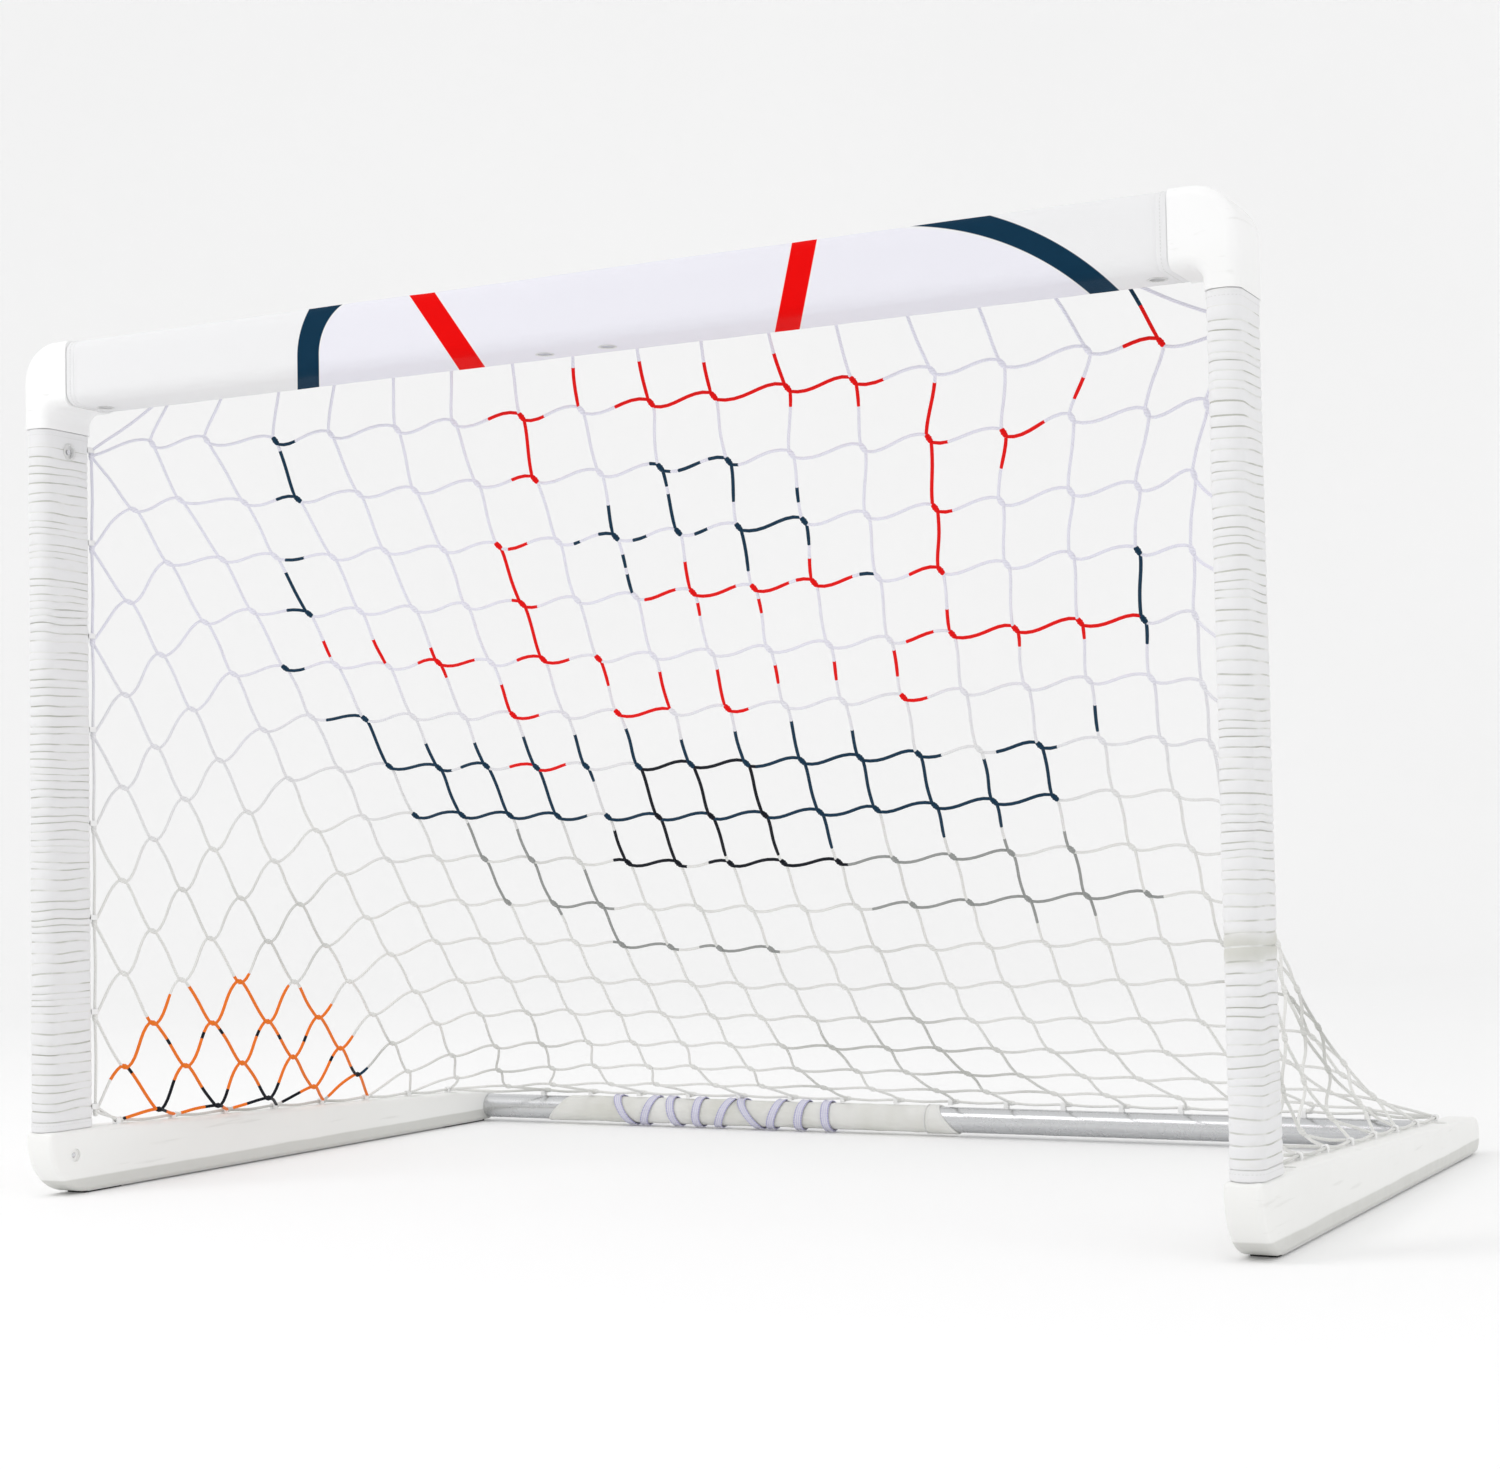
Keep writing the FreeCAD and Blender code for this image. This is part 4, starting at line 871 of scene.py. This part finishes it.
class Net:
    """The net's knots: where they start, what joins them, and where they hang."""

    def __init__(self):
        self.top = eyes("crossbar_net_clips", 0, 1)
        self.rear = eyes("rear_net_clips", 0, 2)
        self.posts = {s: one_side("post_net_clips", 2, 1, s)[::-1] for s in (-1, 1)}
        self.rails = {s: one_side("rail_net_clips", 1, 2, s)[::-1] for s in (-1, 1)}
        self.columns = len(self.top)
        self.sides = len(self.posts[1])
        self.index, self.rest, self.tied = {}, [], []
        for i in range(-self.sides, self.columns + self.sides):
            self.add_column(i)
        self.links, self.lengths = [], []
        for (i, j), knot in self.index.items():
            if (i + 1, j) in self.index:
                self.link(knot, self.index[i + 1, j], self.across_length(i, j))
            if (i, j + 1) in self.index:
                back = 0 <= i < self.columns
                self.link(knot, self.index[i, j + 1], MESH_DOWN if back else MESH_SIDE_DOWN)
        self.places = self.hang()

    def depth(self, i):
        """0 on the back panel, then 1, 2, 3 ... outwards on a side panel."""
        return max(-i, i - self.columns + 1, 0)

    def add_column(self, i):
        k = self.depth(i)
        if k:
            side = -1 if i < 0 else 1
            start, end = self.posts[side][k - 1].copy(), self.rails[side][k - 1].copy()
            start[2] -= TIE_SHIFT
            end[1] += TIE_SHIFT
        else:
            start, end = self.top[i].copy(), self.rear[i].copy()
            start[0] += TIE_SHIFT
            end[0] += TIE_SHIFT
        steps = MESH_ROWS - 2 * k
        for j in range(k, MESH_ROWS - k + 1):
            share = (j - k) / steps
            self.index[i, j] = len(self.rest)
            self.rest.append(start * (1 - share) + end * share)
            self.tied.append(j in (k, MESH_ROWS - k))

    def across_length(self, i, j):
        if not 0 <= i < self.columns - 1:
            return MESH_SIDE_ACROSS
        share = min(max((j - 1) / ACROSS_CHANGE_ROWS, 0.0), 1.0)
        return MESH_ACROSS_TOP + (MESH_ACROSS - MESH_ACROSS_TOP) * share

    def link(self, first, second, length):
        self.links.append((first, second))
        self.lengths.append(length)

    def batches(self):
        """Sort the links so that no two in a batch share a knot."""
        taken, batches = {}, {}
        for number, (a, b) in enumerate(self.links):
            batch = 0
            while batch in taken.setdefault(a, set()) or batch in taken.setdefault(b, set()):
                batch += 1
            taken[a].add(batch)
            taken[b].add(batch)
            batches.setdefault(batch, []).append(number)
        return [np.array(batches[k]) for k in sorted(batches)]

    def hang(self, steps=300, sweeps=12, step=0.012, damping=0.96):
        """Let the knots fall on links that only pull, until the net hangs still."""
        places = np.array(self.rest)
        tied = np.array(self.tied)
        free = np.where(tied, 0.0, 1.0)
        links, lengths = np.array(self.links), np.array(self.lengths)
        speed = np.zeros_like(places)
        batches = self.batches()
        for _ in range(steps):
            speed[:, 2] -= GRAVITY * step * free
            moved = places + speed * step * free[:, None]
            for _ in range(sweeps):
                for batch in batches:
                    a, b = links[batch, 0], links[batch, 1]
                    gap = moved[b] - moved[a]
                    length = np.linalg.norm(gap, axis=1)
                    extra = np.maximum(length - lengths[batch], 0)
                    weight = free[a] + free[b]
                    pull = np.where(weight > 0, extra / np.maximum(weight, 1) / length, 0)[:, None] * gap
                    moved[a] += free[a][:, None] * pull
                    moved[b] -= free[b][:, None] * pull
                moved[:, 2] = np.maximum(moved[:, 2], NET_FLOOR)
            speed = (moved - places) / step * damping
            places = moved
        return places

    def place(self, i, j):
        return Vector(self.places[self.index[i, j]])

    def knot(self, i, j):
        """Where the twines enter and leave a knot, and the direction between."""
        here = self.place(i, j)
        if self.tied[self.index[i, j]]:
            return here, here, None
        across = self.place(i + 1, j) - self.place(i - 1, j)
        down = self.place(i, j + 1) - self.place(i, j - 1)
        lean = (across.normalized() * 0.6 + down.normalized()).normalized()
        return here - lean * KNOT_HALF, here + lean * KNOT_HALF, lean


# Lengths of coloured twine: colour and direction, then line: from, to, from, to ... counted in knots
COLOURED = {
    ("red", "row"): {
        1: (5.5, 6.4, 7.5, 11.35, 14.5, 15.0), 2: (5.6, 6.0, 11.95, 12.25, 13.05, 13.6),
        3: (5.1, 5.55, 11.95, 12.2),
        4: (4.9, 5.25, 7.1, 7.8, 7.95, 8.75, 9.0, 9.6, 9.8, 10.65, 11.55, 12.05),
        5: (2.6, 3.75, 4.5, 5.45, 11.3, 11.7, 12.0, 15.0),
        6: (4.0, 4.45, 6.0, 6.95, 8.0, 8.4, 11.0, 11.4), 7: (3.45, 4.6),
    },
    ("red", "column"): {
        1: (4.5, 4.9), 2: (4.55, 4.95), 3: (4.75, 5.2), 4: (5.35, 6.0), 5: (3.0, 5.0),
        6: (1.0, 2.05, 5.0, 5.45), 7: (0.35, 0.95, 5.2, 5.95),
        8: (0.35, 1.0, 3.5, 4.0, 4.15, 4.4, 5.2, 6.0), 9: (0.45, 1.0, 4.1, 4.4, 5.2, 5.6),
        10: (0.5, 1.3, 3.6, 4.0, 5.2, 5.6), 11: (0.95, 1.4, 5.1, 5.65), 12: (1.1, 4.05, 4.6, 5.0),
        13: (2.0, 2.45, 5.0, 5.3), 14: (1.35, 1.72, 5.0, 5.3), 15: (0.52, 1.0),
    },
    ("navy", "row"): {
        1: (2.0, 2.4), 2: (1.65, 2.05, 7.85, 8.1, 8.25, 8.6, 8.75, 9.1),
        3: (1.1, 1.45, 6.2, 6.4, 6.75, 7.05, 7.3, 7.5, 8.25, 8.5, 9.0, 10.0), 4: (0.6, 1.05, 10.7, 10.95),
        5: (0.0, 0.4), 6: (0.3, 1.05), 7: (1.0, 2.2, 2.55, 3.0, 8.1, 11.4, 12.3, 13.3),
        8: (1.0, 4.6, 5.0, 9.0, 9.0, 13.0), 13: (-3.0, -2.8),
    },
    ("navy", "column"): {
        1: (3.3, 4.0, 6.0, 7.0), 2: (1.1, 2.0, 6.45, 8.0), 3: (6.5, 8.0), 4: (6.4, 8.0), 5: (6.4, 7.3),
        6: (6.3, 7.0), 7: (2.45, 3.0, 3.2, 3.45, 3.6, 3.95, 6.45, 7.0),
        8: (2.05, 2.25, 2.4, 3.0, 6.4, 7.0), 9: (2.0, 2.6, 3.0, 3.8, 6.3, 8.8),
        10: (2.5, 2.72, 3.0, 3.4, 6.5, 8.0), 11: (7.0, 8.6), 12: (7.1, 8.5), 13: (7.0, 8.0),
        14: (6.4, 6.9), 15: (0.1, 0.5, 4.0, 5.4),
    },
    ("black", "row"): {
        7: (6.0, 8.1), 9: (-8.0, -7.85, -7.0, -6.35, -5.36, -5.22, 4.8, 6.1, 6.6, 9.1),
        10: (-6.25, -5.6, -4.4, -4.28), 11: (-5.55, -4.65, -3.57, -3.45), 12: (-4.9, -4.4, -3.37, -3.24),
    },
    ("black", "column"): {
        -7: (8.03, 8.15, 9.0, 9.2), -6: (8.36, 8.48, 9.45, 10.15), -5: (9.1, 9.28, 10.65, 12.0),
        -4: (10.38, 10.52), -3: (12.6, 13.0), 5: (8.2, 9.0), 6: (7.0, 9.0), 7: (7.0, 8.9), 8: (7.0, 8.9),
    },
    ("grey", "row"): {
        9: (9.1, 12.0), 10: (3.0, 4.2, 9.3, 14.2), 11: (3.9, 5.1, 5.6, 7.1),
    },
    ("grey", "column"): {
        2: (8.1, 10.0), 3: (8.2, 10.2), 4: (9.1, 11.0), 12: (8.8, 10.5), 13: (8.6, 10.4),
    },
    ("orange", "column"): {
        -7: (8.15, 9.0, 9.2, 10.0), -6: (7.85, 8.36, 8.48, 9.45, 10.15, 11.0),
        -5: (8.15, 9.1, 9.28, 10.65), -4: (8.85, 10.38, 10.52, 13.0), -3: (10.1, 12.6, 13.0, 14.0),
    },
    ("orange", "row"): {
        8: (-7.4, -5.4), 9: (-7.85, -7.02, -6.35, -5.36, -5.22, -3.8),
        10: (-6.9, -6.25, -5.6, -4.4, -4.28, -3.1), 11: (-5.9, -5.55, -4.65, -3.57, -3.45, -2.6),
        12: (-4.4, -3.37, -3.24, -2.6), 13: (-3.9, -3.0),
    },
}
TWINE_NAMES = ("white", "red", "navy", "black", "grey", "orange")


def twine_mark(kind, line, place):
    """The material of the twine at one place along a row or column."""
    for (colour, direction), lines in COLOURED.items():
        ends = lines.get(line, ()) if direction == kind else ()
        if any(start <= place <= end for start, end in zip(ends[::2], ends[1::2])):
            return TWINE_NAMES.index(colour)
    return 0


def curve_between(start, end, leave, arrive, steps):
    """Points of a smooth curve from start to end, without the start."""
    points = []
    for k in range(1, steps + 1):
        t = k / steps
        points.append(start * (2 * t ** 3 - 3 * t ** 2 + 1) + leave * (t ** 3 - 2 * t ** 2 + t)
                      + end * (3 * t ** 2 - 2 * t ** 3) + arrive * (t ** 3 - t ** 2))
    return points


def add_thread(shape, net, kind, line, start, end, chance):
    """One row or column of twine from knot to knot, as one continuous tube."""
    cells = [(k, line) if kind == "row" else (line, k) for k in range(start, end + 1)]
    knots = [net.knot(*cell) for cell in cells]
    pull = 0.42 if kind == "row" else 0.16
    steps = 8
    path, marks, radii = [knots[0][0]], [], []
    for k, (near, far) in enumerate(zip(knots, knots[1:])):
        if near[2]:
            path.append(near[1])
            marks.append(twine_mark(kind, line, start + k + 0.01))
        chord = far[0] - near[1]
        leave = near[2] if near[2] else chord.normalized()
        arrive = far[2] if far[2] else chord.normalized()
        size = chord.length * pull
        straight = chord * (1 - pull * 0.5)
        points = curve_between(near[1], far[0], straight + leave * size, straight + arrive * size, steps)
        wander = Vector([chance.uniform(-1, 1) * THREAD_WANDER for _ in range(3)])
        for number, point in enumerate(points):
            share = (number + 1) / steps
            path.append(point + wander * sin(pi * share) ** 2)
            marks.append(twine_mark(kind, line, start + k + share - 0.5 / steps))
    for k in range(len(path)):
        mark = marks[min(k, len(marks) - 1)]
        radii.append(TWINE if mark in (0, 4) else COLOURED_TWINE)
    shape.tube(path, radii, 7, marks)


def add_knot(shape, centre, along, mark, size=1.0):
    """A hand-knotted lump: a short barrel with two turns of twine showing."""
    path, radii = [], []
    count = 9
    for k in range(count):
        share = 2 * k / (count - 1) - 1
        path.append(centre + along * (share * KNOT_HALF * 1.12 * size))
        barrel = (1 - abs(share) ** 3.2) ** 0.5
        radii.append(max(KNOT_RADIUS * size * barrel * (1 + 0.13 * cos(3 * pi * share)), TWINE * 0.9))
    shape.tube(path, radii, 9, mark)


def rope_path(points):
    """A rope threaded through eyelets, hanging a little between them."""
    path = []
    for start, end in zip(points, points[1:]):
        gap = end - start
        sag = Vector((0, 0, -0.02 * gap.length)) if abs(gap.z) < 0.6 * gap.length else Vector((0, 0.002, 0))
        steps = max(int(gap.length / ROPE_STEP), 3)
        for k in range(steps):
            share = k / steps
            path.append(start + gap * share + sag * sin(pi * share) ** 2)
    path.append(points[-1])
    return path


def panel_columns(net, panel):
    """The columns that belong to one panel of the net."""
    if panel == "back":
        return range(net.columns)
    return range(-net.sides, 0) if panel == "left" else range(net.columns, net.columns + net.sides)


def make_net_panel(net, panel, name, finishes):
    """One panel: its columns, rows, knots and the edge rope that it hangs on."""
    chance = random.Random(name)
    shape = Shape()
    columns = panel_columns(net, panel)
    for i in columns:
        k = net.depth(i)
        add_thread(shape, net, "column", i, k, MESH_ROWS - k, chance)
        for j in range(k, MESH_ROWS - k + 1):
            lean = net.knot(i, j)[2]
            mark = twine_mark("column", i, j) or twine_mark("row", j, i)
            if lean:
                add_knot(shape, net.place(i, j), lean, mark)
            else:
                add_tie(shape, net, i, j)
    for j in range(1, MESH_ROWS):
        reach = min(j, MESH_ROWS - j, net.sides)
        ends = {"back": (0, net.columns - 1), "left": (-reach, 0),
                "right": (net.columns - 1, net.columns - 1 + reach)}[panel]
        add_thread(shape, net, "row", j, ends[0], ends[1], chance)
    for points in edge_ropes(net, panel):
        shape.tube(rope_path([Vector(p) for p in points]), ROPE, 9, 0)
    mesh = shape.mesh(name + "_twine", finishes)
    piece(name + "_twine", mesh, "net_twine", name)


def add_tie(shape, net, i, j):
    """The hitch that fastens the end of a twine round the edge rope."""
    k = net.depth(i)
    on_post, on_rail = k and j == k, k and j == MESH_ROWS - k
    along = Vector((0, 0, 1)) if on_post else Vector((0, 1, 0)) if on_rail else Vector((1, 0, 0))
    add_knot(shape, net.place(i, j), along, 0, 1.05)


def edge_ropes(net, panel):
    """Eyelet to eyelet routes of the edge rope on one panel."""
    if panel == "back":
        return [net.top, net.rear]
    side, corner = (-1, 0) if panel == "left" else (1, -1)
    return [[net.top[corner]] + net.posts[side] + net.rails[side][::-1] + [net.rear[corner]]]


def make_net():
    """The whole net, in three panels."""
    finishes = [twine("twine_white", srgb(236, 235, 246), srgb(236, 236, 233))]
    for name, colour in zip(TWINE_NAMES[1:], (RED, NAVY, BLACK, GREY, ORANGE)):
        finishes.append(twine("twine_" + name, colour))
    net = Net()
    for panel, node in (("back", "net_back"), ("left", "left_net_side"), ("right", "right_net_side")):
        make_net_panel(net, panel, node, finishes)


# ---------------- stage, light and camera

def make_stage():
    """A plain pale floor that curves up all round, far outside the goal."""
    radius, bend, wall, sides = 9.0, 3.0, 6.0, 96
    profile = [(0.02, 0.0), (2.0, 0.0), (radius - bend, 0.0)]
    profile += [(radius - bend + bend * sin(a), bend - bend * cos(a))
                for a in [pi / 2 * k / 16 for k in range(1, 17)]]
    profile.append((radius, wall))
    rows = [[Vector((r * cos(2 * pi * s / sides), r * sin(2 * pi * s / sides), z)) for s in range(sides)]
            for r, z in profile]
    finish = Finish("pale_floor", 0.9, specular=0.1)
    finish.set("Base Color", finish.mix(finish.noise(0.6, 2.0), srgb(250, 250, 250), srgb(247, 247, 247)))
    finish.set("Emission Color", srgb(255, 255, 255))
    finish.set("Emission Strength", 0.045)
    shape = Shape()
    first = shape.grid(rows, 0, True)
    shape.lid(first, sides)
    floor = bpy.data.objects.new("floor", shape.mesh("floor", [finish]))
    bpy.context.scene.collection.objects.link(floor)


def add_light(name, place, size, power, target=(0.0, 0.0, 0.5)):
    """A soft square area light aimed at the goal."""
    data = bpy.data.lights.new(name, "AREA")
    data.shape, data.size, data.energy = "SQUARE", size, power
    light = bpy.data.objects.new(name, data)
    light.location = place
    light.rotation_euler = (Vector(target) - Vector(place)).to_track_quat("-Z", "Y").to_euler()
    bpy.context.scene.collection.objects.link(light)


def make_light():
    """Even white surroundings, a soft key from the front left and a weaker one from the right."""
    world = bpy.data.worlds.new("studio")
    world.use_nodes = True
    world.node_tree.nodes["Background"].inputs["Color"].default_value = (1.0, 1.0, 1.0, 1.0)
    world.node_tree.nodes["Background"].inputs["Strength"].default_value = 0.88
    bpy.context.scene.world = world
    add_light("key", (-2.2, -3.4, 4.4), 2.2, 55.0)
    add_light("fill", (3.8, -2.0, 2.6), 3.0, 14.0)


def make_camera():
    """The camera, at the photograph's place and angle."""
    forward = Vector((-sin(CAMERA_YAW), cos(CAMERA_YAW), 0))
    right = Vector((cos(CAMERA_YAW), sin(CAMERA_YAW), 0))
    up = Vector((0, 0, 1))
    look = forward * cos(CAMERA_PITCH) + up * sin(CAMERA_PITCH)
    rise = up * cos(CAMERA_PITCH) - forward * sin(CAMERA_PITCH)
    across = right * cos(CAMERA_ROLL) + rise * sin(CAMERA_ROLL)
    rise = rise * cos(CAMERA_ROLL) - right * sin(CAMERA_ROLL)
    data = bpy.data.cameras.new("camera")
    data.lens, data.sensor_width = CAMERA_LENS, 36.0
    camera = bpy.data.objects.new("camera", data)
    turn = Matrix((across, rise, -look)).transposed()
    camera.matrix_world = Matrix.Translation(CAMERA_PLACE) @ turn.to_4x4()
    bpy.context.scene.collection.objects.link(camera)
    bpy.context.scene.camera = camera


def dress_cad_nodes():
    """Give every CAD node that stays in view the finish of its material slot."""
    finishes = cad_finishes()
    for row in frame["record"]["subparts"]:
        finish = finishes.get(row["material_slot"])
        if finish:
            data = frame["nodes"][row["node"]].data
            data.materials.clear()
            data.materials.append(finish.material)


def main():
    bpy.context.scene.view_settings.view_transform = "Standard"
    make_camera()
    make_light()
    make_stage()
    dress_cad_nodes()
    sewing = thread_finish()
    post_finish = post_cloth()
    seam_finish = seam_cloth()
    for side in ("left", "right"):
        make_post_sleeve(side, [post_finish, sewing, seam_finish])
    make_crossbar_sleeve([print_cloth(), sewing])
    make_wrap([wrap_cloth(), sewing])
    make_straps(strap_finish())
    make_net()


main()
